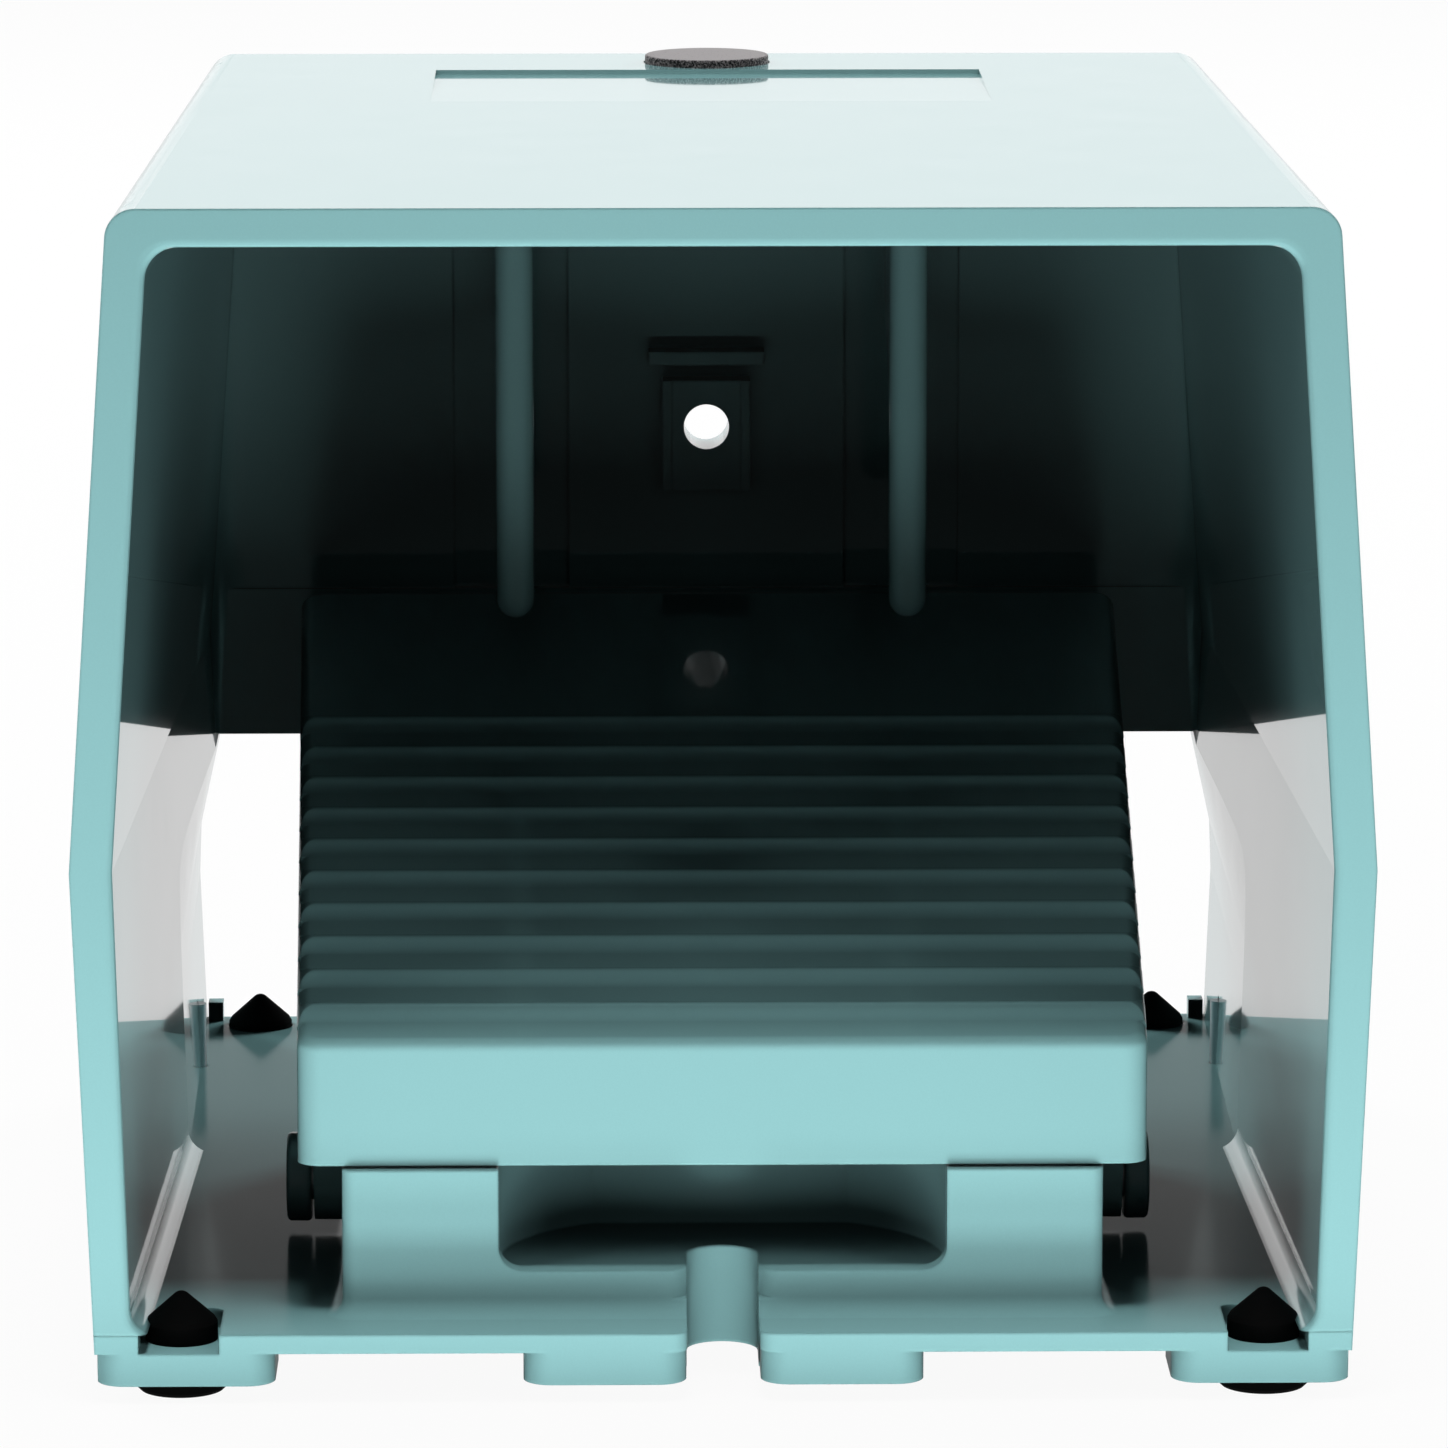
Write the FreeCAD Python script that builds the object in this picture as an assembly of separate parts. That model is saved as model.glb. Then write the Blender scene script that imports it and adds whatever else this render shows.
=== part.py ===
import FreeCAD, Part
import math
import os

os.makedirs("parts", exist_ok=True)

# All lengths are millimetres. X runs across, "d" is the depth behind the front plane
# and "h" the height above the undersides of the cast pads. at() turns these into the
# frame of the files, whose origin is the middle of the footprint at floor level.

# Overall
DEPTH = 182.0
FOOT_PROUD = 2.2
TAPER_SIDE = 4.4
TAPER = TAPER_SIDE / DEPTH

# Hood outside, half widths at the front plane
HOOD_KINK_HALF = 80.0
HOOD_FOOT_LEAN = 2.45
HOOD_TOP_LEAN = 5.6
HOOD_FOOT_HALF = HOOD_KINK_HALF - HOOD_FOOT_LEAN
HOOD_TOP_HALF = HOOD_KINK_HALF - HOOD_TOP_LEAN
HOOD_KINK_H = 64.6
HOOD_TOP_H = 146.3
HOOD_TOP_R = 3.7
HOOD_REAR_EDGE_R = 2.0

# Hood walls and the inside that follows from them
SIDE_FOOT_T = 4.35
SIDE_KINK_T = 5.2
SIDE_TOP_T = 4.75
ROOF_T = 4.8
REAR_WALL_T = 5.0
INNER_FOOT_HALF = HOOD_FOOT_HALF - SIDE_FOOT_T
INNER_KINK_HALF = HOOD_KINK_HALF - SIDE_KINK_T
INNER_TOP_HALF = HOOD_TOP_HALF - SIDE_TOP_T
INNER_TOP_H = HOOD_TOP_H - ROOF_T
REAR_WALL_D = DEPTH - REAR_WALL_T
INNER_TOP_R = 4.0
INNER_FOOT_R = 3.5
INNER_REAR_R = 5.0
LIP_R = 1.0
LIP_STEPS = 3

# Rear wall features
WINDOW_TOP_H = 49.4
BAND_TOP_H = 70.2
BAND_TOP_PROUD = 0.7
BAND_FOOT_PROUD = 1.9
LEDGE_HALF = 38.2
LEDGE_DROP = 1.4
LEDGE_H = BAND_TOP_H - LEDGE_DROP
LEDGE_T = 0.8
LEDGE_PROUD = 1.3
TOOTH_W = 1.2
TOOTH_T = 1.0
CHANNEL_IN = 19.6
CHANNEL_OUT = 35.9
CHANNEL_DEEP = 1.5
FLARE_LONG = 83.5
FLARE_FIT = 0.05
FLARE_EDGE_T = ((WINDOW_TOP_H, 5.5), (35.2, 1.85), (28.0, 1.3), (9.0, 1.3), (5.5, 1.4))

# Bracket and hole on the rear wall
HOLE_R = 3.2
HOLE_H = 94.0
BRACKET_HALF = 6.2
RAIL_T = 1.3
RAIL_PROUD = 5.0
PLATE_PROUD = 4.5
RAIL_BELOW = 9.2
RAIL_ABOVE = 6.6
SHELF_HALF = 8.2
SHELF_ABOVE = 8.8
SHELF_T = 1.9
RAIL_D = REAR_WALL_D - RAIL_PROUD
PLATE_D = REAR_WALL_D - PLATE_PROUD
SHELF_D = PLATE_D
RAIL_LOW_H = HOLE_H - RAIL_BELOW
RAIL_TOP_H = HOLE_H + RAIL_ABOVE
SHELF_LOW_H = HOLE_H + SHELF_ABOVE
SHELF_TOP_H = SHELF_LOW_H + SHELF_T

# Toe stops under the roof
POST_X = 26.6
POST_D = 118.0
POST_R = 2.575
POST_TIP_H = 76.0
WEB_T = 2.4
WEB_ABOVE_TIP = 4.0
WEB_RISE = 32.0
WEB_LOW_H = POST_TIP_H + WEB_ABOVE_TIP
WEB_REAR_H = WEB_LOW_H + WEB_RISE

# Label recess in the roof
RECESS_HALF = 37.7
RECESS_REAR_IN = 24.0
RECESS_LONG = 40.0
RECESS_DEEP = 0.6
RECESS_REAR_D = DEPTH - RECESS_REAR_IN
RECESS_FRONT_D = RECESS_REAR_D - RECESS_LONG

# Release button in the roof
BUTTON_REAR_IN = 13.5
BUTTON_D = DEPTH - BUTTON_REAR_IN
BUTTON_R = 8.65
BUTTON_PROUD = 1.1
BUTTON_CAP_T = 2.3
BUTTON_TRAVEL = 3.0
WELL_GAP = 0.2
WELL_DEEP = 4.3
WELL_WALL = 1.65
POCKET_R = 6.3
POCKET_DEEP = 12.3
COLLAR_DROP = 4.5
BOSS_WALL = 4.0
BOSS_DEEP = 20.3
BUSH_R = 5.0
STEM_R = 3.0
STEM_GAP = 0.06
STEM_OUT = 4.5
WELL_R = BUTTON_R + WELL_GAP
WELL_FLOOR_H = HOOD_TOP_H - WELL_DEEP
POCKET_FLOOR_H = HOOD_TOP_H - POCKET_DEEP
COLLAR_R = WELL_R + WELL_WALL
COLLAR_LOW_H = INNER_TOP_H - COLLAR_DROP
BOSS_R = BUSH_R + BOSS_WALL
BOSS_LOW_H = HOOD_TOP_H - BOSS_DEEP
STEM_LOW_H = BOSS_LOW_H - STEM_OUT
RING_R = 5.0
RING_T = 0.8
RING_GAP = 0.15
BUTTON_COIL_R = 4.9
BUTTON_WIRE_R = 0.4
BUTTON_TURNS = 5

# Base plate and pads
PLATE_LOW_H = 4.1
FLOOR_H = 6.5
PAD_R = 3.5
PAD_LONG = 16.5
CORNER_PAD_WIDE = 22.0
CORNER_PAD_OUT = HOOD_FOOT_HALF - 0.05
CORNER_PAD_IN = CORNER_PAD_OUT - CORNER_PAD_WIDE
CENTRE_PAD_IN = 4.6
CENTRE_PAD_OUT = 24.8
POCKET_HALF = 5.0
POCKET_LONG = 13.5
REAR_BLOCK_WIDE = 2.1
REAR_BLOCK_IN = 5.75
REAR_BLOCK_H = 9.2
REAR_BLOCK_LONG = 3.0

# Rubber feet
FOOT_FLANGE_R = 5.7
FOOT_NECK_R = 3.0
FOOT_HEAD_R = 4.5
FOOT_HEAD_T = 2.5
FOOT_CONE_T = 3.6
FOOT_TIP_R = 1.3
FOOT_FRONT_IN = 10.25
FOOT_REAR_IN = 13.35
FOOT_FRONT_X = HOOD_FOOT_HALF - FOOT_FRONT_IN
FOOT_FRONT_D = 8.0
FOOT_REAR_X = HOOD_FOOT_HALF - FOOT_REAR_IN
FOOT_REAR_D = DEPTH - FOOT_FLANGE_R
FOOT_REAR_SEAT_H = 5.0
FOOT_POCKET_GAP = 0.1

# Tub that carries the hinge and the switch
TUB_HALF = 47.35
TUB_FRONT_D = 9.5
TUB_REAR_D = 100.0
TUB_RIM_H = 25.0
TUB_CORNER_R = 1.6
TUB_FOOT_R = 2.1
CUT_HALF = 27.9
CUT_R = 3.0
SILL_H = 12.1
BAY_FRONT_D = 12.5
BAY_HALF_FRONT = 27.8
BAY_MID = (25.4, 25.5)
BAY_HALF_REAR = 16.2
BAY_REAR_D = 34.5
SLOT_R = 4.5
SLOT_D = 18.2
SLOT_MOUTH_R = 2.0
SLOT_SILL_R = 2.6
SLOT_BOSS_WALL = 4.5
SLOT_BOSS_LOW_H = -0.4
LOW_RIM_H = 22.6
LOW_RIM_D = 61.0
CELL_HALF = 43.8
CELL_FRONT_D = 64.0
CELL_REAR_D = 96.5
CELL_SCREW_X = 40.2
CELL_SCREW_D = (67.5, 93.5)
CELL_BOSS_HALF = 3.6
WALL = 3.6
CORE_TOP_H = 21.4

# Hinge
PIN_D = 55.4
PIN_H = 13.3
PIN_R = 3.0
PIN_END = 54.8
PIN_FIT = 0.03
PIN_REACH = PIN_END + 5.0
CAP_R = 5.75
CAP_IN = 52.6
CAP_OUT = 55.8
CAP_RIM_R = 0.6
BUSH_BORE_GAP = 0.05
HINGE_BUSH_R = 4.4
BUSH_FLANGE_R = 4.9
BUSH_FLANGE_T = 1.1
BUSH_FLANGE_GAP = 0.15
EAR_GAP = 0.4
EAR_OUT = 52.25
EAR_R = 5.6
BUSH_FLANGE_IN = TUB_HALF + BUSH_FLANGE_GAP
EAR_IN = TUB_HALF + EAR_GAP

# Pedal
PEDAL_FRONT_D = 10.5
PEDAL_REAR_GAP = 16.0
PEDAL_REAR_D = REAR_WALL_D - PEDAL_REAR_GAP
PEDAL_LOW_H = 25.4
PEDAL_TOP_H = 41.2
PEDAL_SLOPE = 0.209
PEDAL_HALF = 52.8
PEDAL_WIDEN = 0.029
PEDAL_SKIN = 4.0
PEDAL_WALL = 3.5
PEDAL_PLAN_R = 3.0
PEDAL_EDGE_R = 1.6
PEDAL_REAR_DEEP = 12.0
SKIRT_BEND_D = 74.0
RIB_FIRST_D = 19.5
RIB_PITCH = 10.3
RIB_COUNT = 10
RIB_H = 1.1
RIB_EDGE_R = 2.2
KEEL_X = 38.0
KEEL_T = 2.5
KEEL_DEEP = 6.0

# Switch drive under the pedal
DRIVE_D = 85.0
DRIVE_BOSS_R = 6.0
DRIVE_BOSS_H = 46.5
SCREW_R = 2.5
SCREW_TIP_H = 42.0
SCREW_LONG = 11.0
SCREW_TOP_H = SCREW_TIP_H + SCREW_LONG
NUT_ACROSS = 8.0
NUT_T = 3.0
STOP_X = 25.0
STOP_D = 90.0
STOP_R = 5.0
STOP_LOW_H = 37.0

# Switch plunger and its spring
PLUNGER_D = 86.85
PLUNGER_R = 3.0
PLUNGER_CAP_R = 8.2
PLUNGER_CAP_T = 2.5
PLUNGER_GAP = 0.3
PLUNGER_LOW_H = 15.0
PLUNGER_COLLAR_R = 4.5
PLUNGER_COLLAR_LOW_H = 21.6
PLUNGER_COLLAR_T = 1.4
PLUNGER_FIT = 0.05
SLEEVE_R = 5.2
SLEEVE_TOP_H = 28.5
SPRING_COIL_R = 6.8
SPRING_WIRE_R = 0.6
SPRING_TURNS = 5
COIL_STEPS = 12
COIL_SIDES = 8

# Switch cell contents
GASKET_T = 0.8
COVER_T = 2.0
COVER_EDGE = 0.6
COVER_SCREW_R = 1.5
COVER_HEAD_R = 2.8
COVER_HEAD_T = 1.6
COVER_SCREW_LONG = 9.0
BRACKET_T = 1.2
BRACKET_X = 22.0
BRACKET_D = (66.0, 96.0)
BLOCK_HALF = 11.0
BLOCK_D = (78.0, 92.8)
BLOCK_TOP_H = 16.5
TERMINAL_HALF = 20.0
TERMINAL_D = (68.0, 76.5)
TERMINAL_TOP_H = 14.5
TERMINAL_SCREWS = 4
TERMINAL_PITCH = 10.0
BUFFER_D = 92.6
BUFFER_R = 5.0
BUFFER_TOP_H = 30.8

# Cable gland
GLAND_X = 0.0
GLAND_H = 14.6
GLAND_THREAD_R = 6.0
GLAND_BORE_R = 4.0
GLAND_IN_D = 93.5
GLAND_HEX = 14.0
GLAND_HEX_T = 4.0
GLAND_NECK_R = 5.4
GLAND_NECK_END_D = 109.0
GLAND_NUT_END_D = 113.0
GLAND_NUT_R = 7.2
CABLE_R = 3.2

# Screws that hold the hood down
HOOD_SCREW_IN = 1.95
HOOD_SCREW_X = HOOD_FOOT_HALF - HOOD_SCREW_IN
HOOD_SCREW_D = (30.0, 90.0, DEPTH - 32.0)
HOOD_SCREW_R = 1.25
HOOD_HEAD_R = 2.0
HOOD_HEAD_T = 1.8
HOOD_SCREW_TOP_H = 15.5
FIT = 0.03


def at(x, d, h):
    """A point from across, depth and height."""
    return FreeCAD.Vector(x, d - DEPTH / 2, h + FOOT_PROUD)


def block(x0, x1, d0, d1, h0, h1):
    """A box between two corners."""
    return Part.makeBox(x1 - x0, d1 - d0, h1 - h0, at(x0, d0, h0))


def rod_x(radius, x0, x1, d, h):
    """A cylinder along X."""
    return Part.makeCylinder(radius, x1 - x0, at(x0, d, h), FreeCAD.Vector(1, 0, 0))


def rod_d(radius, x, d0, d1, h):
    """A cylinder along the depth."""
    return Part.makeCylinder(radius, d1 - d0, at(x, d0, h), FreeCAD.Vector(0, 1, 0))


def rod_h(radius, x, d, h0, h1):
    """An upright cylinder."""
    return Part.makeCylinder(radius, h1 - h0, at(x, d, h0))


def tube_h(outer, inner, x, d, h0, h1):
    """An upright tube."""
    return rod_h(outer, x, d, h0, h1).cut(rod_h(inner, x, d, h0 - 1, h1 + 1))


def rounded_wire(corners, place):
    """A closed wire through (u, v, radius) corners, drawn with place(u, v)."""
    count = len(corners)
    joints = []
    for i in range(count):
        u, v, radius = corners[i]
        pu, pv, _ = corners[i - 1]
        nu, nv, _ = corners[(i + 1) % count]
        before = FreeCAD.Vector(pu - u, pv - v, 0).normalize()
        after = FreeCAD.Vector(nu - u, nv - v, 0).normalize()
        here = FreeCAD.Vector(u, v, 0)
        if radius == 0:
            joints.append((here, None, here))
            continue
        half = before.getAngle(after) / 2
        back = radius / math.tan(half)
        axis = (before + after).normalize()
        middle = here + axis * (radius / math.sin(half) - radius)
        joints.append((here + before * back, middle, here + after * back))
    edges = []
    for i in range(count):
        start, middle, end = joints[i]
        follow = joints[(i + 1) % count][0]
        if middle is not None:
            arc = Part.Arc(place(start.x, start.y), place(middle.x, middle.y), place(end.x, end.y))
            edges.append(arc.toShape())
        if end.distanceToPoint(follow) > 1e-6:
            edges.append(Part.makeLine(place(end.x, end.y), place(follow.x, follow.y)))
    return Part.Wire(edges)


def prism_x(corners, x0, x1):
    """A prism along X from (d, h) or (d, h, radius) corners."""
    full = [(c[0], c[1], c[2] if len(c) > 2 else 0) for c in corners]
    wire = rounded_wire(full, lambda d, h: at(x0, d, h))
    return Part.Face(wire).extrude(FreeCAD.Vector(x1 - x0, 0, 0))


def prism_d(corners, d0, d1):
    """A prism along the depth from (x, h) or (x, h, radius) corners."""
    full = [(c[0], c[1], c[2] if len(c) > 2 else 0) for c in corners]
    wire = rounded_wire(full, lambda x, h: at(x, d0, h))
    return Part.Face(wire).extrude(FreeCAD.Vector(0, d1 - d0, 0))


def prism_h(corners, h0, h1):
    """An upright prism from (x, d) or (x, d, radius) corners."""
    full = [(c[0], c[1], c[2] if len(c) > 2 else 0) for c in corners]
    wire = rounded_wire(full, lambda x, d: at(x, d, h0))
    return Part.Face(wire).extrude(FreeCAD.Vector(0, 0, h1 - h0))


def loft(front, rear):
    """A straight loft between two closed wires."""
    return Part.makeLoft([front, rear], True, True)


def fuse(shapes):
    """All the shapes joined and cleaned."""
    body = shapes[0]
    if len(shapes) > 1:
        body = shapes[0].multiFuse(shapes[1:])
    return body.removeSplitter()


def flip(shape):
    """The same shape on the other side."""
    return shape.mirror(FreeCAD.Vector(0, 0, 0), FreeCAD.Vector(1, 0, 0))


def both(shape):
    """A shape and its twin on the other side."""
    return [shape, flip(shape)]


def hexagon(across, x, d, h0, h1):
    """An upright hexagonal prism."""
    reach = across / math.sqrt(3)
    corners = []
    for i in range(6):
        turn = math.radians(60 * i)
        corners.append((x + reach * math.cos(turn), d + reach * math.sin(turn)))
    return prism_h(corners, h0, h1)


def hexagon_d(across, x, h, d0, d1):
    """A hexagonal prism along the depth."""
    reach = across / math.sqrt(3)
    corners = []
    for i in range(6):
        turn = math.radians(60 * i)
        corners.append((x + reach * math.cos(turn), h + reach * math.sin(turn)))
    return prism_d(corners, d0, d1)


def coil(mean_r, wire_r, turns, x, d, h0, h1):
    """A spring with its ends inside h0 and h1, as one tube of short straight pieces."""
    rise = h1 - h0 - 2 * wire_r
    steps = turns * COIL_STEPS
    slope = rise / (2 * math.pi * mean_r * turns)
    rings = []
    for i in range(steps + 1):
        turn = 2 * math.pi * turns * i / steps
        middle = at(x, d, h0 + wire_r) + FreeCAD.Vector(mean_r * math.cos(turn), mean_r * math.sin(turn),
                                                        rise * i / steps)
        outward = FreeCAD.Vector(math.cos(turn), math.sin(turn), 0)
        along = FreeCAD.Vector(-math.sin(turn), math.cos(turn), slope).normalize()
        across = along.cross(outward).normalize()
        points = []
        for k in range(COIL_SIDES):
            spin = 2 * math.pi * k / COIL_SIDES
            points.append(middle + outward * (wire_r * math.cos(spin)) + across * (wire_r * math.sin(spin)))
        rings.append(Part.makePolygon(points + [points[0]]))
    return Part.makeLoft(rings, True, True)


def solid_of(shape):
    """The one solid of a shape."""
    solids = shape.Solids
    if len(solids) != 1:
        print("solids", len(solids), [round(s.Volume, 2) for s in solids])
    return max(solids, key=lambda s: s.Volume)


SAVED = []


def save(node, shape):
    """Writes one node."""
    body = solid_of(shape)
    box = body.BoundBox
    print(node, "valid", body.isValid(), round(body.Volume, 1),
          [round(v, 2) for v in (box.XMin, box.XMax, box.YMin, box.YMax, box.ZMin, box.ZMax)])
    body.exportStep("parts/" + node + ".step")
    SAVED.append(node)


def outer_half(h):
    """Half width of the outside at the front plane."""
    if h <= HOOD_KINK_H:
        share = h / HOOD_KINK_H
        return HOOD_FOOT_HALF + (HOOD_KINK_HALF - HOOD_FOOT_HALF) * share
    share = (h - HOOD_KINK_H) / (HOOD_TOP_H - HOOD_KINK_H)
    return HOOD_KINK_HALF + (HOOD_TOP_HALF - HOOD_KINK_HALF) * share


def inner_half(h):
    """Half width of the inside at the front plane, below the kink."""
    share = (h - FLOOR_H) / (HOOD_KINK_H - FLOOR_H)
    return INNER_FOOT_HALF + (INNER_KINK_HALF - INNER_FOOT_HALF) * share


def outer_wire(d, low_h):
    """Outline of the hood's outside at a depth."""
    inset = TAPER * d
    low = outer_half(low_h) - inset
    kink = HOOD_KINK_HALF - inset
    top = HOOD_TOP_HALF - inset
    corners = [(-low, low_h, 0), (low, low_h, 0), (kink, HOOD_KINK_H, 0)]
    corners += [(top, HOOD_TOP_H, HOOD_TOP_R), (-top, HOOD_TOP_H, HOOD_TOP_R)]
    corners += [(-kink, HOOD_KINK_H, 0)]
    return rounded_wire(corners, lambda x, h: at(x, d, h))


def inner_wire(d, grow):
    """Outline of the hood's inside at a depth, grown on all sides."""
    inset = TAPER * d - grow
    foot = INNER_FOOT_HALF - inset
    kink = INNER_KINK_HALF - inset
    top = INNER_TOP_HALF - inset
    low_h = FLOOR_H - 0.3
    corners = [(-foot, low_h, INNER_FOOT_R), (foot, low_h, INNER_FOOT_R), (kink, HOOD_KINK_H, 0)]
    corners += [(top, INNER_TOP_H + grow, INNER_TOP_R), (-top, INNER_TOP_H + grow, INNER_TOP_R)]
    corners += [(-kink, HOOD_KINK_H, 0)]
    return rounded_wire(corners, lambda x, h: at(x, d, h))


# Hood
shell = loft(outer_wire(0, FLOOR_H), outer_wire(DEPTH, FLOOR_H))
rear_edges = []
for edge in shell.Edges:
    box = edge.BoundBox
    at_rear = abs(box.YMin - DEPTH / 2) < 0.01 and box.YLength < 0.01
    if at_rear and box.ZMax > at(0, 0, FLOOR_H + 1).z:
        rear_edges.append(edge)
shell = shell.makeFillet(HOOD_REAR_EDGE_R, rear_edges)

cavity = loft(inner_wire(-3.0, 0), inner_wire(DEPTH + 8, 0))
plan_front = INNER_KINK_HALF + 0.05 + TAPER * 5
plan_rear = INNER_KINK_HALF + 0.05 - TAPER * REAR_WALL_D
plan = [(-plan_front, -5, 0), (plan_front, -5, 0), (plan_rear, REAR_WALL_D, INNER_REAR_R),
        (-plan_rear, REAR_WALL_D, INNER_REAR_R)]
cavity = cavity.common(prism_h(plan, 0, HOOD_TOP_H))
hood = shell.cut(cavity)

# Rounded lip round the mouth, in three small steps
for i in range(LIP_STEPS):
    turn_a = math.pi / 2 * i / LIP_STEPS
    turn_b = math.pi / 2 * (i + 1) / LIP_STEPS
    near = inner_wire(LIP_R * (1 - math.cos(turn_a)), LIP_R * (1 - math.sin(turn_a)))
    far = inner_wire(LIP_R * (1 - math.cos(turn_b)), LIP_R * (1 - math.sin(turn_b)))
    hood = hood.cut(loft(near, far))

# Rear window with flared sides
flare_start_d = DEPTH - FLARE_LONG
window = []
for rear_end in (False, True):
    corners = []
    for h, edge_t in FLARE_EDGE_T:
        x = inner_half(h) - TAPER * flare_start_d - FLARE_FIT
        if rear_end:
            x = outer_half(h) - TAPER_SIDE - edge_t
        corners.append((x, h))
    corners += [(-x, h) for x, h in reversed(corners)]
    place_d = DEPTH if rear_end else flare_start_d
    points = [at(x, place_d, h) for x, h in corners]
    window.append(Part.makePolygon(points + [points[0]]))
run = 1.0 + 1.0 / FLARE_LONG
overrun = []
for near, far in zip(window[0].Vertexes, window[1].Vertexes):
    overrun.append(near.Point + (far.Point - near.Point) * run)
hood = hood.cut(loft(window[0], Part.makePolygon(overrun + [overrun[0]])))

# Rear wall band, ledge, channels, bracket and toe stops
wall_in = REAR_WALL_D + 1.0
band_half = INNER_FOOT_HALF - TAPER * REAR_WALL_D + 0.6
band = prism_x([(REAR_WALL_D - BAND_TOP_PROUD, BAND_TOP_H), (wall_in, BAND_TOP_H),
                (wall_in, WINDOW_TOP_H), (REAR_WALL_D - BAND_FOOT_PROUD, WINDOW_TOP_H)],
               -band_half, band_half)
ledge = block(-LEDGE_HALF, LEDGE_HALF, REAR_WALL_D - LEDGE_PROUD, wall_in, LEDGE_H, LEDGE_H + LEDGE_T)
additions = [hood, band, ledge]
for tooth_x in (CHANNEL_IN, CHANNEL_OUT - TOOTH_W):
    tooth = block(tooth_x, tooth_x + TOOTH_W, REAR_WALL_D - LEDGE_PROUD, wall_in,
                  LEDGE_H - TOOTH_T, LEDGE_H + 0.1)
    additions += both(tooth)
post = rod_h(POST_R, POST_X, POST_D, POST_TIP_H + POST_R, INNER_TOP_H + 1)
tip = Part.makeSphere(POST_R, at(POST_X, POST_D, POST_TIP_H + POST_R))
web = prism_x([(POST_D, WEB_LOW_H), (POST_D, INNER_TOP_H + 1), (REAR_WALL_D + CHANNEL_DEEP + 1, INNER_TOP_H + 1),
               (REAR_WALL_D + CHANNEL_DEEP + 1, WEB_REAR_H)], POST_X - WEB_T / 2, POST_X + WEB_T / 2)
channel = block(CHANNEL_IN, CHANNEL_OUT, REAR_WALL_D - 0.01, REAR_WALL_D + CHANNEL_DEEP,
                BAND_TOP_H, INNER_TOP_H)
plate = block(-BRACKET_HALF, BRACKET_HALF, PLATE_D, wall_in, RAIL_LOW_H, RAIL_TOP_H)
shelf = block(-SHELF_HALF, SHELF_HALF, SHELF_D, wall_in, SHELF_LOW_H, SHELF_TOP_H)
rail = block(BRACKET_HALF - RAIL_T, BRACKET_HALF, RAIL_D, wall_in, RAIL_LOW_H, RAIL_TOP_H)
hood = additions[0].multiFuse(additions[1:])
hood = hood.cut(channel)
hood = hood.cut(flip(channel))
collar = rod_h(COLLAR_R, 0, BUTTON_D, COLLAR_LOW_H, INNER_TOP_H + 1)
boss = rod_h(BOSS_R, 0, BUTTON_D, BOSS_LOW_H, INNER_TOP_H + 1)
hood = hood.multiFuse(both(post) + both(tip) + both(web) + both(rail) + [plate, shelf, collar, boss])
hood = hood.cut(rod_d(HOLE_R, 0, RAIL_D - 2, DEPTH + 2, HOLE_H))
hood = hood.cut(block(-100, 100, DEPTH, DEPTH + 20, 0, 200))

# Button well, pocket and bush bore, then the label recess
hood = hood.cut(rod_h(WELL_R, 0, BUTTON_D, WELL_FLOOR_H, HOOD_TOP_H + 5))
hood = hood.cut(rod_h(POCKET_R, 0, BUTTON_D, POCKET_FLOOR_H, HOOD_TOP_H + 5))
hood = hood.cut(rod_h(BUSH_R, 0, BUTTON_D, BOSS_LOW_H - 1, HOOD_TOP_H))
recess = prism_x([(RECESS_FRONT_D, HOOD_TOP_H), (RECESS_REAR_D, HOOD_TOP_H - RECESS_DEEP),
                  (RECESS_REAR_D, HOOD_TOP_H + 1), (RECESS_FRONT_D, HOOD_TOP_H + 1)],
                 -RECESS_HALF, RECESS_HALF)
hood = hood.cut(recess)

# Holes for the hood screws
screw_spots = []
for d in HOOD_SCREW_D:
    for side in (-1, 1):
        screw_spots.append((side * (HOOD_SCREW_X - TAPER * d), d))
for x, d in screw_spots:
    hood = hood.cut(rod_h(HOOD_SCREW_R + FIT, x, d, FLOOR_H - 1, HOOD_SCREW_TOP_H + 0.5))
save("hood", hood.removeSplitter())

# Base plate, pads and rear blocks
def plate_wire(h):
    """Outline of the base at a height."""
    half = outer_half(h)
    corners = [(-half, 0, 0), (half, 0, 0), (half - TAPER_SIDE, DEPTH, 0), (-half + TAPER_SIDE, DEPTH, 0)]
    return rounded_wire(corners, lambda x, d: at(x, d, h))


floor_plate = loft(plate_wire(PLATE_LOW_H), plate_wire(FLOOR_H))
envelope = loft(plate_wire(-0.01), plate_wire(FLOOR_H))


def pad(x0, x1, d0, d1):
    """A pad under the plate with rounded corners."""
    corners = [(x0, d0, PAD_R), (x1, d0, PAD_R), (x1, d1, PAD_R), (x0, d1, PAD_R)]
    return prism_h(corners, 0, PLATE_LOW_H + 0.5)


rear_in = CORNER_PAD_IN - TAPER_SIDE
rear_out = CORNER_PAD_OUT - TAPER_SIDE
pads = both(pad(CORNER_PAD_IN, CORNER_PAD_OUT + 0.05, 0, PAD_LONG))
pads += both(pad(rear_in, rear_out + 0.4, DEPTH - PAD_LONG, DEPTH))
pads += both(pad(CENTRE_PAD_IN, CENTRE_PAD_OUT, 0, PAD_LONG))
pads += both(pad(CENTRE_PAD_IN, CENTRE_PAD_OUT, DEPTH - PAD_LONG, DEPTH))
rear_block_out = HOOD_FOOT_HALF - REAR_BLOCK_IN
rear_block = block(rear_block_out - REAR_BLOCK_WIDE, rear_block_out, DEPTH - REAR_BLOCK_LONG, DEPTH, FLOOR_H - 0.5, REAR_BLOCK_H)
base = floor_plate.multiFuse([p.common(envelope) for p in pads] + both(rear_block))

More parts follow.
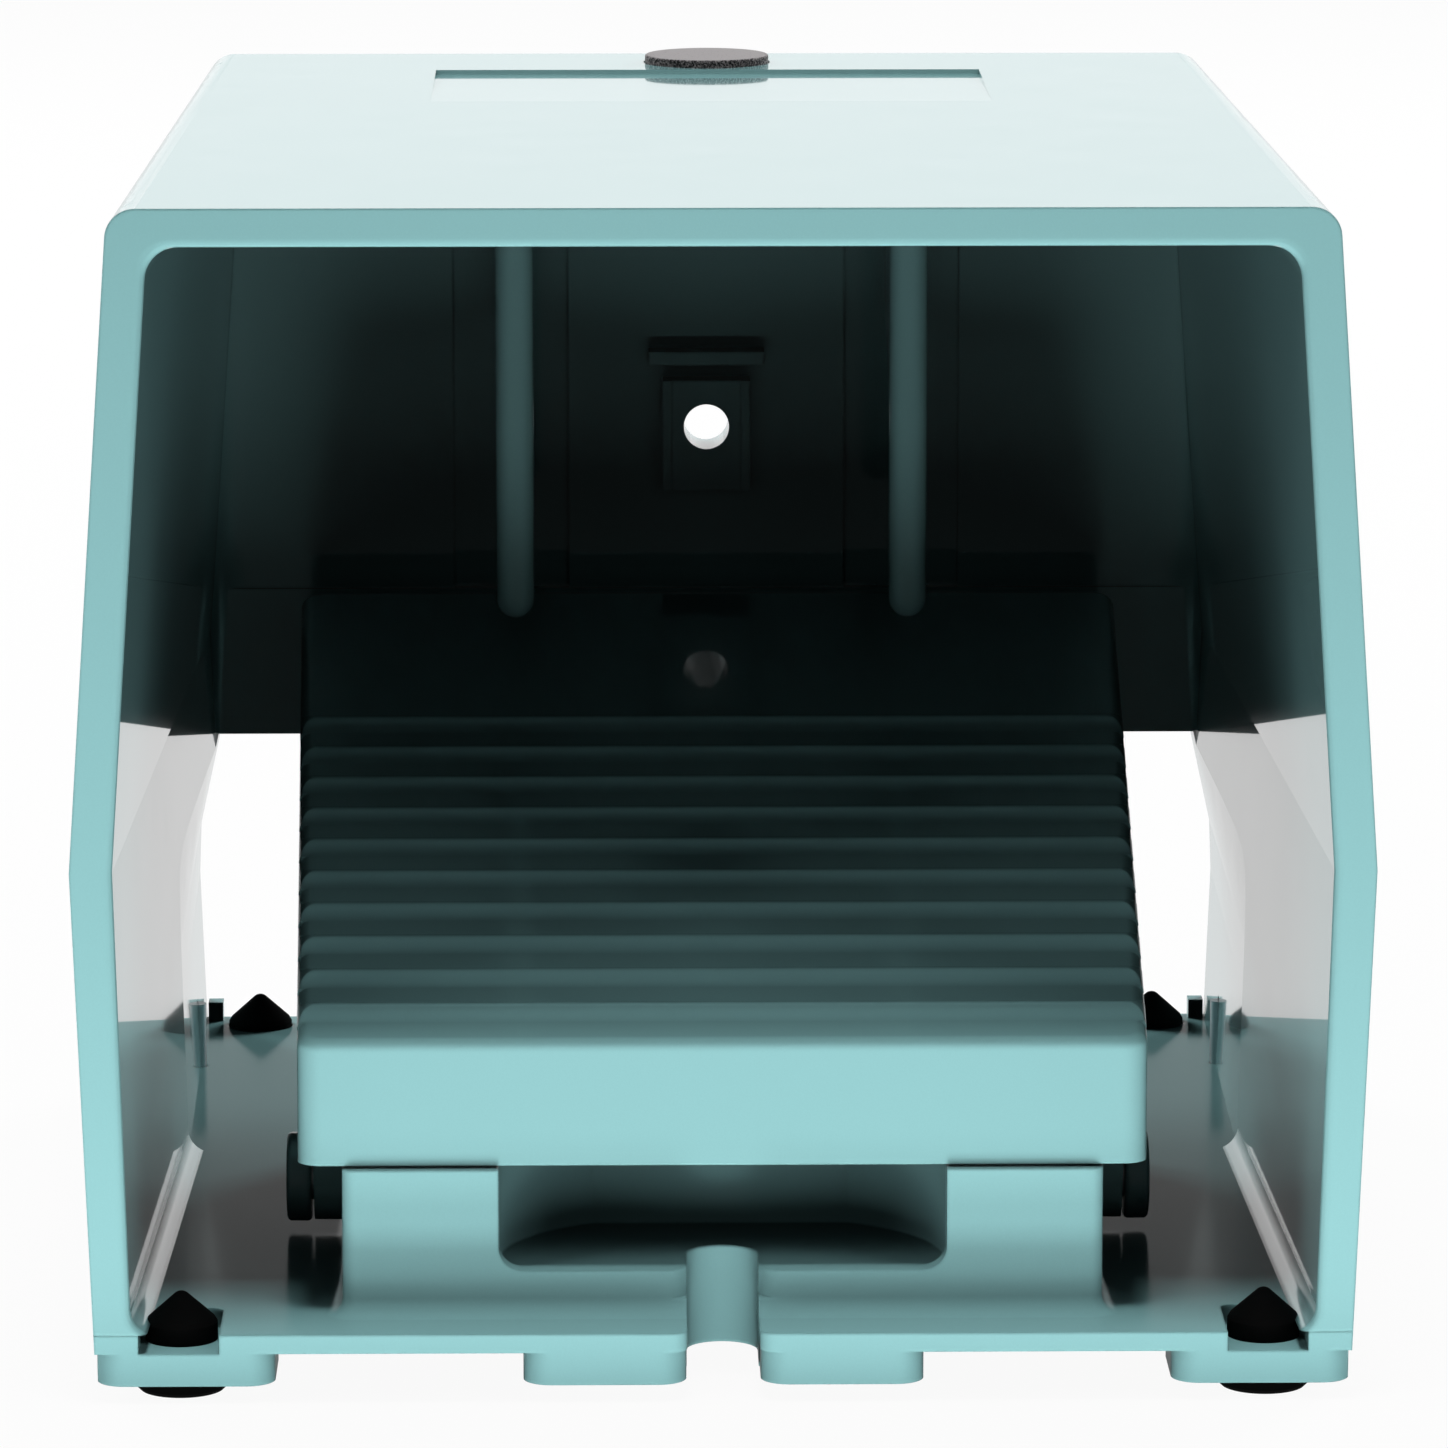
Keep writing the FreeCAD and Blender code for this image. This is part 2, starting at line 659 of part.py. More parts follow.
# Tub with a rounded foot
tub_corners = [(-TUB_HALF, TUB_FRONT_D, TUB_CORNER_R), (TUB_HALF, TUB_FRONT_D, TUB_CORNER_R),
               (TUB_HALF, TUB_REAR_D, TUB_CORNER_R), (-TUB_HALF, TUB_REAR_D, TUB_CORNER_R)]
tub = prism_h(tub_corners, PLATE_LOW_H, TUB_RIM_H)
skirt_corners = [(-TUB_HALF - TUB_FOOT_R, TUB_FRONT_D - TUB_FOOT_R, TUB_CORNER_R + TUB_FOOT_R),
                 (TUB_HALF + TUB_FOOT_R, TUB_FRONT_D - TUB_FOOT_R, TUB_CORNER_R + TUB_FOOT_R),
                 (TUB_HALF + TUB_FOOT_R, TUB_REAR_D + TUB_FOOT_R, TUB_CORNER_R + TUB_FOOT_R),
                 (-TUB_HALF - TUB_FOOT_R, TUB_REAR_D + TUB_FOOT_R, TUB_CORNER_R + TUB_FOOT_R)]
base = base.fuse(tub)
foot_edges = []
for edge in base.Edges:
    box = edge.BoundBox
    level = abs(box.ZMin - at(0, 0, FLOOR_H).z) < 0.01 and box.ZLength < 0.01
    near_tub = box.XMax < TUB_HALF + 0.1 and box.XMin > -TUB_HALF - 0.1
    inside = box.YMin > at(0, TUB_FRONT_D - 0.1, 0).y and box.YMax < at(0, TUB_REAR_D + 0.1, 0).y
    if level and near_tub and inside:
        foot_edges.append(edge)
try:
    base = base.makeFillet(TUB_FOOT_R, foot_edges)
except Exception as problem:
    print("tub foot", problem, len(foot_edges))

# Front cut-out, bay and fixing slot
base = base.cut(prism_d([(-CUT_HALF, SILL_H, CUT_R), (CUT_HALF, SILL_H, CUT_R), (CUT_HALF, TUB_RIM_H + 5),
                         (-CUT_HALF, TUB_RIM_H + 5)], TUB_FRONT_D - 4, BAY_FRONT_D + 0.01))
bay_edges = [Part.makeLine(at(-BAY_HALF_FRONT, BAY_FRONT_D, SILL_H), at(BAY_HALF_FRONT, BAY_FRONT_D, SILL_H)),
             Part.Arc(at(BAY_HALF_FRONT, BAY_FRONT_D, SILL_H), at(BAY_MID[0], BAY_MID[1], SILL_H),
                      at(BAY_HALF_REAR, BAY_REAR_D, SILL_H)).toShape(),
             Part.makeLine(at(BAY_HALF_REAR, BAY_REAR_D, SILL_H), at(-BAY_HALF_REAR, BAY_REAR_D, SILL_H)),
             Part.Arc(at(-BAY_HALF_REAR, BAY_REAR_D, SILL_H), at(-BAY_MID[0], BAY_MID[1], SILL_H),
                      at(-BAY_HALF_FRONT, BAY_FRONT_D, SILL_H)).toShape()]
bay = Part.Face(Part.Wire(bay_edges)).extrude(FreeCAD.Vector(0, 0, TUB_RIM_H + 5 - SILL_H))
base = base.cut(bay)
slot_boss_r = SLOT_R + SLOT_BOSS_WALL
base = base.fuse(rod_h(slot_boss_r, 0, SLOT_D, SLOT_BOSS_LOW_H, PLATE_LOW_H + 1))
base = base.fuse(block(-slot_boss_r, slot_boss_r, PAD_LONG - PAD_R, SLOT_D, SLOT_BOSS_LOW_H, PLATE_LOW_H + 1))
base = base.cut(block(-SLOT_R, SLOT_R, -1, SLOT_D, -1, SILL_H + 2))
base = base.cut(rod_h(SLOT_R, 0, SLOT_D, -1, SILL_H + 2))
sill_end = block(SLOT_R - 0.5, SLOT_R + SLOT_SILL_R, TUB_FRONT_D - 0.01, TUB_FRONT_D + SLOT_SILL_R,
                 FLOOR_H + TUB_FOOT_R, SILL_H + 1)
sill_end = sill_end.cut(rod_h(SLOT_SILL_R, SLOT_R + SLOT_SILL_R, TUB_FRONT_D + SLOT_SILL_R, FLOOR_H, SILL_H + 2))
for piece in both(sill_end):
    base = base.cut(piece)
mouth = block(SLOT_R - 0.5, SLOT_R + SLOT_MOUTH_R, -1, SLOT_MOUTH_R, PLATE_LOW_H - 0.01, FLOOR_H + 1)
mouth = mouth.cut(rod_h(SLOT_MOUTH_R, SLOT_R + SLOT_MOUTH_R, SLOT_MOUTH_R, PLATE_LOW_H - 1, FLOOR_H + 2))
for piece in both(mouth):
    base = base.cut(piece)

# Corner pockets, foot holes and screw holes
for side in (-1, 1):
    x_mid = side * FOOT_FRONT_X
    pocket = prism_h([(x_mid - POCKET_HALF, -1), (x_mid + POCKET_HALF, -1),
                      (x_mid + POCKET_HALF, POCKET_LONG, 1.5), (x_mid - POCKET_HALF, POCKET_LONG, 1.5)],
                     PLATE_LOW_H, FLOOR_H + 1)
    base = base.cut(pocket)
    base = base.cut(rod_h(FOOT_NECK_R, side * FOOT_FRONT_X, FOOT_FRONT_D, -1, PLATE_LOW_H + 1))
    base = base.cut(rod_h(FOOT_NECK_R, side * FOOT_REAR_X, FOOT_REAR_D, -1, FOOT_REAR_SEAT_H + 1))
    base = base.cut(rod_h(FOOT_HEAD_R + FOOT_POCKET_GAP, side * FOOT_REAR_X, FOOT_REAR_D, FOOT_REAR_SEAT_H,
                          FLOOR_H + 1))
for x, d in screw_spots:
    base = base.cut(rod_h(HOOD_SCREW_R + FIT, x, d, PLATE_LOW_H - 1, FLOOR_H + 1))

# Switch cell, hinge bore, gland hole and the cores underneath
base = base.cut(block(-60, 60, LOW_RIM_D, TUB_REAR_D + 1, LOW_RIM_H, TUB_RIM_H + 1))
cell = prism_h([(-CELL_HALF, CELL_FRONT_D, 2), (CELL_HALF, CELL_FRONT_D, 2), (CELL_HALF, CELL_REAR_D, 2),
                (-CELL_HALF, CELL_REAR_D, 2)], FLOOR_H, LOW_RIM_H + 5)
for d in CELL_SCREW_D:
    corner_d = CELL_FRONT_D - 1 if d < PLUNGER_D else d - CELL_BOSS_HALF
    corner_end = d + CELL_BOSS_HALF if d < PLUNGER_D else CELL_REAR_D + 1
    corner = block(CELL_SCREW_X - CELL_BOSS_HALF, 50, corner_d, corner_end, FLOOR_H - 1, LOW_RIM_H + 6)
    for piece in both(corner):
        cell = cell.cut(piece)
base = base.cut(cell)
base = base.cut(rod_x(PIN_R + PIN_FIT, -PIN_REACH, PIN_REACH, PIN_D, PIN_H))
base = base.cut(rod_d(GLAND_THREAD_R + FIT, GLAND_X, CELL_REAR_D - 4, TUB_REAR_D + 5, GLAND_H))
core_low = PLATE_LOW_H - 1
side_in = CUT_HALF + WALL
side_out = TUB_HALF - WALL
for side in (-1, 1):
    x0 = min(side * side_in, side * side_out)
    x1 = max(side * side_in, side * side_out)
    base = base.cut(block(x0, x1, TUB_FRONT_D + WALL, BAY_REAR_D, core_low, CORE_TOP_H))
    y0 = min(side * 10.0, side * side_out)
    y1 = max(side * 10.0, side * side_out)
    base = base.cut(block(y0, y1, PAD_LONG + 1.5, BAY_REAR_D, core_low, SILL_H - 3.0))
base = base.cut(block(-side_out, side_out, BAY_REAR_D + WALL, PIN_D - 7.6, core_low, CORE_TOP_H))
for d in CELL_SCREW_D:
    for side in (-1, 1):
        base = base.cut(rod_h(COVER_SCREW_R, side * CELL_SCREW_X, d, LOW_RIM_H - COVER_SCREW_LONG, LOW_RIM_H + 1))
save("base", base.removeSplitter())

# Rubber feet
def rubber_foot(x, d, seat_h):
    """A push-in foot with a flange below and a rounded cone above its seat."""
    cone_low = seat_h + FOOT_HEAD_T
    apex_h = cone_low + FOOT_CONE_T
    shoulder_r = FOOT_HEAD_R - 0.35
    shoulder_h = cone_low + 0.3
    profile = [(0, -FOOT_PROUD), (FOOT_FLANGE_R - 0.5, -FOOT_PROUD), (FOOT_FLANGE_R, -FOOT_PROUD + 0.5),
               (FOOT_FLANGE_R, 0), (FOOT_NECK_R, 0), (FOOT_NECK_R, seat_h), (FOOT_HEAD_R, seat_h),
               (FOOT_HEAD_R, cone_low - 0.3), (shoulder_r, shoulder_h)]
    ball_h = apex_h - FOOT_TIP_R
    span = math.hypot(shoulder_r, ball_h - shoulder_h)
    touch = math.atan2(ball_h - shoulder_h, shoulder_r) + math.asin(FOOT_TIP_R / span)
    profile.append((FOOT_TIP_R * math.sin(touch), ball_h + FOOT_TIP_R * math.cos(touch)))
    points = [at(x + r, d, h) for r, h in profile]
    edges = []
    for i in range(len(points) - 1):
        edges.append(Part.makeLine(points[i], points[i + 1]))
    half_turn = touch / 2
    middle = at(x + FOOT_TIP_R * math.sin(half_turn), d, ball_h + FOOT_TIP_R * math.cos(half_turn))
    apex = at(x, d, apex_h)
    edges.append(Part.Arc(points[-1], middle, apex).toShape())
    edges.append(Part.makeLine(apex, points[0]))
    face = Part.Face(Part.Wire(edges))
    return face.revolve(at(x, d, 0), FreeCAD.Vector(0, 0, 1), 360)


save("rubber_foot_front_left", rubber_foot(-FOOT_FRONT_X, FOOT_FRONT_D, PLATE_LOW_H))
save("rubber_foot_front_right", rubber_foot(FOOT_FRONT_X, FOOT_FRONT_D, PLATE_LOW_H))
save("rubber_foot_rear_left", rubber_foot(-FOOT_REAR_X, FOOT_REAR_D, FOOT_REAR_SEAT_H))
save("rubber_foot_rear_right", rubber_foot(FOOT_REAR_X, FOOT_REAR_D, FOOT_REAR_SEAT_H))

# Hood screws
number = 0
for x, d in screw_spots:
    number += 1
    shank = rod_h(HOOD_SCREW_R, x, d, PLATE_LOW_H - 0.5, HOOD_SCREW_TOP_H)
    head = rod_h(HOOD_HEAD_R, x, d, PLATE_LOW_H - HOOD_HEAD_T, PLATE_LOW_H)
    drive = hexagon(2.0, x, d, PLATE_LOW_H - HOOD_HEAD_T - 0.1, PLATE_LOW_H - 0.8)
    save("hood_screw_" + str(number), fuse([shank, head]).cut(drive))

# Pedal
def pedal_top(d):
    """Height of the pedal's top plane at a depth."""
    return PEDAL_TOP_H + PEDAL_SLOPE * (d - PEDAL_FRONT_D)


def pedal_half(d):
    """Half width of the pedal at a depth."""
    return PEDAL_HALF + PEDAL_WIDEN * (d - PEDAL_FRONT_D)


def pedal_solid(lift, side_in, front_in, rear_in, low, plan_r):
    """The pedal's outside, or a smaller or taller version of it."""
    d0 = PEDAL_FRONT_D + front_in
    d1 = PEDAL_REAR_D - rear_in
    plan = [(-pedal_half(d0) + side_in, d0, plan_r), (pedal_half(d0) - side_in, d0, plan_r),
            (pedal_half(d1) - side_in, d1, plan_r), (-pedal_half(d1) + side_in, d1, plan_r)]
    column = prism_h(plan, low, pedal_top(d1) + 10)
    side = prism_x([(d0 - 5, low - 1), (d0 - 5, pedal_top(d0 - 5) + lift), (d1 + 5, pedal_top(d1 + 5) + lift),
                    (d1 + 5, low - 1)], -HOOD_KINK_HALF, HOOD_KINK_HALF)
    return column.common(side)


def top_edges(shape, lift, span):
    """The edges round the top face of a pedal solid."""
    found = []
    for edge in shape.Edges:
        middle = edge.BoundBox.Center
        d = middle.y + DEPTH / 2
        h = middle.z - FOOT_PROUD
        flat = edge.BoundBox.ZLength < 0.3 * max(edge.BoundBox.YLength, edge.BoundBox.XLength) + 0.01
        if flat and abs(h - pedal_top(d) - lift) < span:
            found.append(edge)
    return found


outside = pedal_solid(0, 0, 0, 0, 5, PEDAL_PLAN_R)
outside = outside.makeFillet(PEDAL_EDGE_R, top_edges(outside, 0, 0.6))
ribbed = pedal_solid(RIB_H, 0, 0, 0, 5, PEDAL_PLAN_R)
ribbed = ribbed.makeFillet(RIB_EDGE_R, top_edges(ribbed, RIB_H, 0.6))
tilt = math.atan(PEDAL_SLOPE)


def rib(d_mid):
    """One rounded rib across the pedal with hollow flanks."""
    def place(s, n):
        d = d_mid + s * math.cos(tilt) - n * math.sin(tilt)
        h = pedal_top(d_mid) + s * math.sin(tilt) + n * math.cos(tilt)
        return at(-60, d, h)
    front = Part.Arc(place(-3.4, 0), place(-1.85, 0.26), place(-0.85, 0.78)).toShape()
    crest = Part.Arc(place(-0.85, 0.78), place(0, RIB_H), place(0.85, 0.78)).toShape()
    back = Part.Arc(place(0.85, 0.78), place(1.5, 0.26), place(2.6, 0)).toShape()
    under = [Part.makeLine(place(2.6, 0), place(2.6, -1)), Part.makeLine(place(2.6, -1), place(-3.4, -1)),
             Part.makeLine(place(-3.4, -1), place(-3.4, 0))]
    face = Part.Face(Part.Wire([front, crest, back] + under))
    return face.extrude(FreeCAD.Vector(120, 0, 0))


ribs = []
for i in range(RIB_COUNT):
    ribs.append(rib(RIB_FIRST_D + RIB_PITCH * i).common(ribbed))
pedal = outside.multiFuse(ribs)
skin_h = PEDAL_SKIN / math.cos(tilt)
hollow = pedal_solid(-skin_h, PEDAL_WALL, PEDAL_WALL, PEDAL_SKIN, 3, 1.5)
pedal = pedal.cut(hollow)
rear_low = pedal_top(PEDAL_REAR_D) - PEDAL_REAR_DEEP
trim = prism_x([(PEDAL_FRONT_D - 2, 0), (PEDAL_FRONT_D - 2, PEDAL_LOW_H), (SKIRT_BEND_D, PEDAL_LOW_H),
                (PEDAL_REAR_D + 2, rear_low), (PEDAL_REAR_D + 2, 0)], -HOOD_KINK_HALF, HOOD_KINK_HALF)
pedal = pedal.cut(trim)
ear_side = prism_x([(PIN_D - EAR_R, PIN_H), (PIN_D - EAR_R - 6, PEDAL_LOW_H + 6), (PIN_D - EAR_R - 6, 47.5),
                    (PIN_D + EAR_R + 14, 50.0), (PIN_D + EAR_R + 14, PEDAL_LOW_H + 8), (PIN_D + EAR_R, PIN_H)],
                   EAR_IN, EAR_OUT)
ear_disc = rod_x(EAR_R, EAR_IN, EAR_OUT, PIN_D, PIN_H)
ear = ear_side.fuse(ear_disc)
keel_corners = [(PEDAL_FRONT_D + 1, pedal_top(PEDAL_FRONT_D + 1) - 2), (PEDAL_REAR_D - 1, pedal_top(PEDAL_REAR_D - 1) - 2),
                (PEDAL_REAR_D - 1, pedal_top(PEDAL_REAR_D - 1) - skin_h - KEEL_DEEP),
                (PEDAL_FRONT_D + 1, pedal_top(PEDAL_FRONT_D + 1) - skin_h - KEEL_DEEP)]
keel = prism_x(keel_corners, KEEL_X, KEEL_X + KEEL_T)
drive_boss = rod_h(DRIVE_BOSS_R, 0, DRIVE_D, DRIVE_BOSS_H, pedal_top(DRIVE_D) - 2)
stop_post = rod_h(STOP_R, STOP_X, STOP_D, STOP_LOW_H, pedal_top(STOP_D) - 2)
pedal = pedal.multiFuse(both(ear) + both(keel) + [drive_boss] + both(stop_post))
pedal = pedal.cut(rod_x(HINGE_BUSH_R, -PIN_REACH, PIN_REACH, PIN_D, PIN_H))
flange_out = BUSH_FLANGE_IN + BUSH_FLANGE_T
for piece in both(rod_x(BUSH_FLANGE_R, EAR_IN - 0.1, flange_out, PIN_D, PIN_H)):
    pedal = pedal.cut(piece)
pedal = pedal.cut(rod_h(SCREW_R, 0, DRIVE_D, DRIVE_BOSS_H - 1, SCREW_TOP_H + 0.5))
for side in (-1, 1):
    ends = (side * EAR_OUT, side * PIN_REACH)
    spot = rod_x(CAP_R + 1.2, min(ends), max(ends), PIN_D, PIN_H)
    pedal = pedal.cut(spot)
save("pedal", pedal.removeSplitter())

# Hinge pin, bushes and caps
pin = rod_x(PIN_R, -PIN_END, PIN_END, PIN_D, PIN_H)
save("hinge_pin", pin)
sleeve = rod_x(HINGE_BUSH_R, BUSH_FLANGE_IN, EAR_OUT, PIN_D, PIN_H)
flange = rod_x(BUSH_FLANGE_R, BUSH_FLANGE_IN, flange_out, PIN_D, PIN_H)
bush = fuse([sleeve, flange]).cut(rod_x(PIN_R + BUSH_BORE_GAP, BUSH_FLANGE_IN - 1, EAR_OUT + 1, PIN_D, PIN_H))
cap = rod_x(CAP_R, CAP_IN, CAP_OUT, PIN_D, PIN_H)
rim = [e for e in cap.Edges if e.BoundBox.XLength < 0.01]
cap = cap.makeFillet(CAP_RIM_R, rim)
cap = cap.cut(rod_x(PIN_R, CAP_IN - 1, PIN_END + 0.02, PIN_D, PIN_H))
save("hinge_bush_right", bush)
save("hinge_bush_left", flip(bush))
save("hinge_cap_right", cap)
save("hinge_cap_left", flip(cap))

# Actuator screw and lock nut
shank = rod_h(SCREW_R, 0, DRIVE_D, SCREW_TIP_H + 1.0, SCREW_TOP_H)
dome_r = (SCREW_R ** 2 + 1.0) / 2.0
dome = Part.makeSphere(dome_r, at(0, DRIVE_D, SCREW_TIP_H + dome_r))
dome = dome.common(rod_h(SCREW_R, 0, DRIVE_D, SCREW_TIP_H - 1, SCREW_TIP_H + 1.2))
save("actuator_screw", fuse([shank, dome]))
nut = hexagon(NUT_ACROSS, 0, DRIVE_D, DRIVE_BOSS_H - NUT_T, DRIVE_BOSS_H)
save("actuator_lock_nut", nut.cut(rod_h(SCREW_R, 0, DRIVE_D, DRIVE_BOSS_H - NUT_T - 1, DRIVE_BOSS_H + 1)))

# Gasket, cover and cover screws
cover_low = LOW_RIM_H + GASKET_T
cover_top = cover_low + COVER_T
lid = [(-TUB_HALF + COVER_EDGE, LOW_RIM_D + COVER_EDGE, 1.5), (TUB_HALF - COVER_EDGE, LOW_RIM_D + COVER_EDGE, 1.5),
       (TUB_HALF - COVER_EDGE, TUB_REAR_D - COVER_EDGE, 1.5), (-TUB_HALF + COVER_EDGE, TUB_REAR_D - COVER_EDGE, 1.5)]
gasket = prism_h(lid, LOW_RIM_H, cover_low).cut(cell)
cover = prism_h(lid, cover_low, cover_top)
cover = cover.fuse(rod_h(SLEEVE_R, 0, PLUNGER_D, cover_low, SLEEVE_TOP_H))
cover = cover.cut(rod_h(PLUNGER_R + PLUNGER_FIT, 0, PLUNGER_D, cover_low - 1, SLEEVE_TOP_H + 1))
number = 0
cover_screws = []
for d in CELL_SCREW_D:
    for side in (-1, 1):
        x = side * CELL_SCREW_X
        gasket = gasket.cut(rod_h(COVER_SCREW_R + 0.1, x, d, LOW_RIM_H - 1, cover_low + 1))
        cover = cover.cut(rod_h(COVER_SCREW_R + 0.1, x, d, cover_low - 1, cover_top + 1))
        shank = rod_h(COVER_SCREW_R, x, d, LOW_RIM_H - COVER_SCREW_LONG + 0.5, cover_top + 0.2)
        head = rod_h(COVER_HEAD_R, x, d, cover_top, cover_top + COVER_HEAD_T)
        drive = hexagon(2.5, x, d, cover_top + COVER_HEAD_T - 1.0, cover_top + COVER_HEAD_T + 1)
        cover_screws.append(fuse([shank, head]).cut(drive))
buffer_hole_r = 1.5
for side in (-1, 1):
    cover = cover.cut(rod_h(buffer_hole_r, side * STOP_X, BUFFER_D, cover_low - 1, cover_top + 1))
save("cover_gasket", gasket)
save("chamber_cover", cover.removeSplitter())
for screw in cover_screws:
    number += 1
    save("cover_screw_" + str(number), screw)

# Stop buffers
for side, name in ((-1, "stop_buffer_left"), (1, "stop_buffer_right")):
    x = side * STOP_X
    dome = rod_h(BUFFER_R, x, BUFFER_D, cover_top, BUFFER_TOP_H)
    rim = [e for e in dome.Edges if abs(e.BoundBox.ZMin - at(0, 0, BUFFER_TOP_H).z) < 0.01
           and e.BoundBox.ZLength < 0.01]
    dome = dome.makeFillet(1.0, rim)
    neck = rod_h(buffer_hole_r, x, BUFFER_D, cover_low, cover_top + 0.5)
    save(name, fuse([dome, neck]))

# Plunger and return spring
plunger_top = SCREW_TIP_H - PLUNGER_GAP
plunger_cap = rod_h(PLUNGER_CAP_R, 0, PLUNGER_D, plunger_top - PLUNGER_CAP_T, plunger_top)
plunger_stem = rod_h(PLUNGER_R, 0, PLUNGER_D, PLUNGER_LOW_H, plunger_top - 1)
plunger_collar = rod_h(PLUNGER_COLLAR_R, 0, PLUNGER_D, PLUNGER_COLLAR_LOW_H, PLUNGER_COLLAR_LOW_H + PLUNGER_COLLAR_T)
save("switch_plunger", fuse([plunger_cap, plunger_stem, plunger_collar]))
save("return_spring", coil(SPRING_COIL_R, SPRING_WIRE_R, SPRING_TURNS, 0, PLUNGER_D,
                           cover_top + 0.02, plunger_top - PLUNGER_CAP_T - 0.02))

# Switch bracket, contact block and terminals
bracket_top = FLOOR_H + BRACKET_T
bracket = block(-BRACKET_X, BRACKET_X, BRACKET_D[0], BRACKET_D[1], FLOOR_H, bracket_top)
upright = block(-BRACKET_X, BRACKET_X, BRACKET_D[0], BRACKET_D[0] + BRACKET_T, FLOOR_H, TERMINAL_TOP_H - 2)
save("switch_bracket", fuse([bracket, upright]))
contact_block = block(-BLOCK_HALF, BLOCK_HALF, BLOCK_D[0], BLOCK_D[1], bracket_top, BLOCK_TOP_H)
contact_block = contact_block.cut(rod_h(PLUNGER_R + 0.3, 0, PLUNGER_D, bracket_top + 1.5, BLOCK_TOP_H + 1))
save("contact_block", contact_block)
terminal_block = block(-TERMINAL_HALF, TERMINAL_HALF, TERMINAL_D[0], TERMINAL_D[1], bracket_top, TERMINAL_TOP_H)
terminal_screws = []
terminal_mid = (TERMINAL_D[0] + TERMINAL_D[1]) / 2
for i in range(TERMINAL_SCREWS):
    x = (i - (TERMINAL_SCREWS - 1) / 2) * TERMINAL_PITCH
    terminal_block = terminal_block.cut(rod_h(1.25, x, terminal_mid, TERMINAL_TOP_H - 5, TERMINAL_TOP_H + 1))
    shank = rod_h(1.25, x, terminal_mid, TERMINAL_TOP_H - 4.8, TERMINAL_TOP_H + 0.5)
    head = rod_h(2.4, x, terminal_mid, TERMINAL_TOP_H, TERMINAL_TOP_H + 1.5)
    slit = block(x - 3, x + 3, terminal_mid - 0.3, terminal_mid + 0.3, TERMINAL_TOP_H + 0.8, TERMINAL_TOP_H + 2)
    terminal_screws.append(fuse([shank, head]).cut(slit))
save("terminal_block", terminal_block)
number = 0
for screw in terminal_screws:
    number += 1
    save("terminal_screw_" + str(number), screw)

# Cable gland
gland = rod_d(GLAND_THREAD_R, GLAND_X, GLAND_IN_D, TUB_REAR_D + 0.5, GLAND_H)
gland_hex = hexagon_d(GLAND_HEX, GLAND_X, GLAND_H, TUB_REAR_D, TUB_REAR_D + GLAND_HEX_T)
neck = rod_d(GLAND_NECK_R, GLAND_X, TUB_REAR_D, GLAND_NECK_END_D, GLAND_H)
gland = fuse([gland, gland_hex, neck]).cut(rod_d(GLAND_BORE_R, GLAND_X, GLAND_IN_D - 1, GLAND_NECK_END_D + 1, GLAND_H))
seal_d = GLAND_NECK_END_D - 5.0
gland = gland.cut(rod_d(GLAND_BORE_R + 0.5, GLAND_X, seal_d, GLAND_NECK_END_D + 1, GLAND_H))
save("gland_body", gland)
seal = rod_d(GLAND_BORE_R + 0.5, GLAND_X, seal_d, GLAND_NECK_END_D, GLAND_H)
save("gland_seal", seal.cut(rod_d(CABLE_R, GLAND_X, seal_d - 1, GLAND_NECK_END_D + 1, GLAND_H)))
gland_nut = rod_d(GLAND_NUT_R, GLAND_X, TUB_REAR_D + GLAND_HEX_T, GLAND_NUT_END_D, GLAND_H)
far_rim = [e for e in gland_nut.Edges if abs(e.BoundBox.YMin - at(0, GLAND_NUT_END_D, 0).y) < 0.01
           and e.BoundBox.YLength < 0.01]
gland_nut = gland_nut.makeFillet(2.0, far_rim)
gland_nut = gland_nut.cut(rod_d(GLAND_NECK_R, GLAND_X, TUB_REAR_D, GLAND_NECK_END_D, GLAND_H))
gland_nut = gland_nut.cut(rod_d(CABLE_R + 0.3, GLAND_X, TUB_REAR_D, GLAND_NUT_END_D + 1, GLAND_H))
save("gland_nut", gland_nut)

# Release button
button_top = HOOD_TOP_H + BUTTON_PROUD
cap_low = button_top - BUTTON_CAP_T
disc = rod_h(BUTTON_R, 0, BUTTON_D, cap_low, button_top)
rim = [e for e in disc.Edges if abs(e.BoundBox.ZMin - at(0, 0, button_top).z) < 0.01 and e.BoundBox.ZLength < 0.01]
disc = disc.makeFillet(0.3, rim)
disc = disc.cut(rod_h(STEM_R - 0.8, 0, BUTTON_D, cap_low - 1, cap_low + 1.2))
save("button_cap", disc)
stem = rod_h(STEM_R, 0, BUTTON_D, STEM_LOW_H, cap_low)
stem = stem.fuse(rod_h(STEM_R - 0.8, 0, BUTTON_D, cap_low - 0.5, cap_low + 1.2))
groove_top = BOSS_LOW_H - RING_GAP
groove = tube_h(STEM_R + 1, STEM_R - 0.6, 0, BUTTON_D, groove_top - RING_T, groove_top)
save("button_stem", stem.cut(groove).removeSplitter())
save("button_ring", tube_h(RING_R, STEM_R - 0.6, 0, BUTTON_D, groove_top - RING_T, groove_top))
save("button_bush", tube_h(BUSH_R, STEM_R + STEM_GAP, 0, BUTTON_D, BOSS_LOW_H, POCKET_FLOOR_H))
save("button_spring", coil(BUTTON_COIL_R, BUTTON_WIRE_R, BUTTON_TURNS, 0, BUTTON_D,
                           POCKET_FLOOR_H + 0.02, cap_low - 0.02))
print("nodes", len(SAVED))
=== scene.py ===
"""Looks of a hooded foot pedal switch: paint, rubber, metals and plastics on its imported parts."""

import logging
import math
from dataclasses import dataclass, field
from enum import Enum

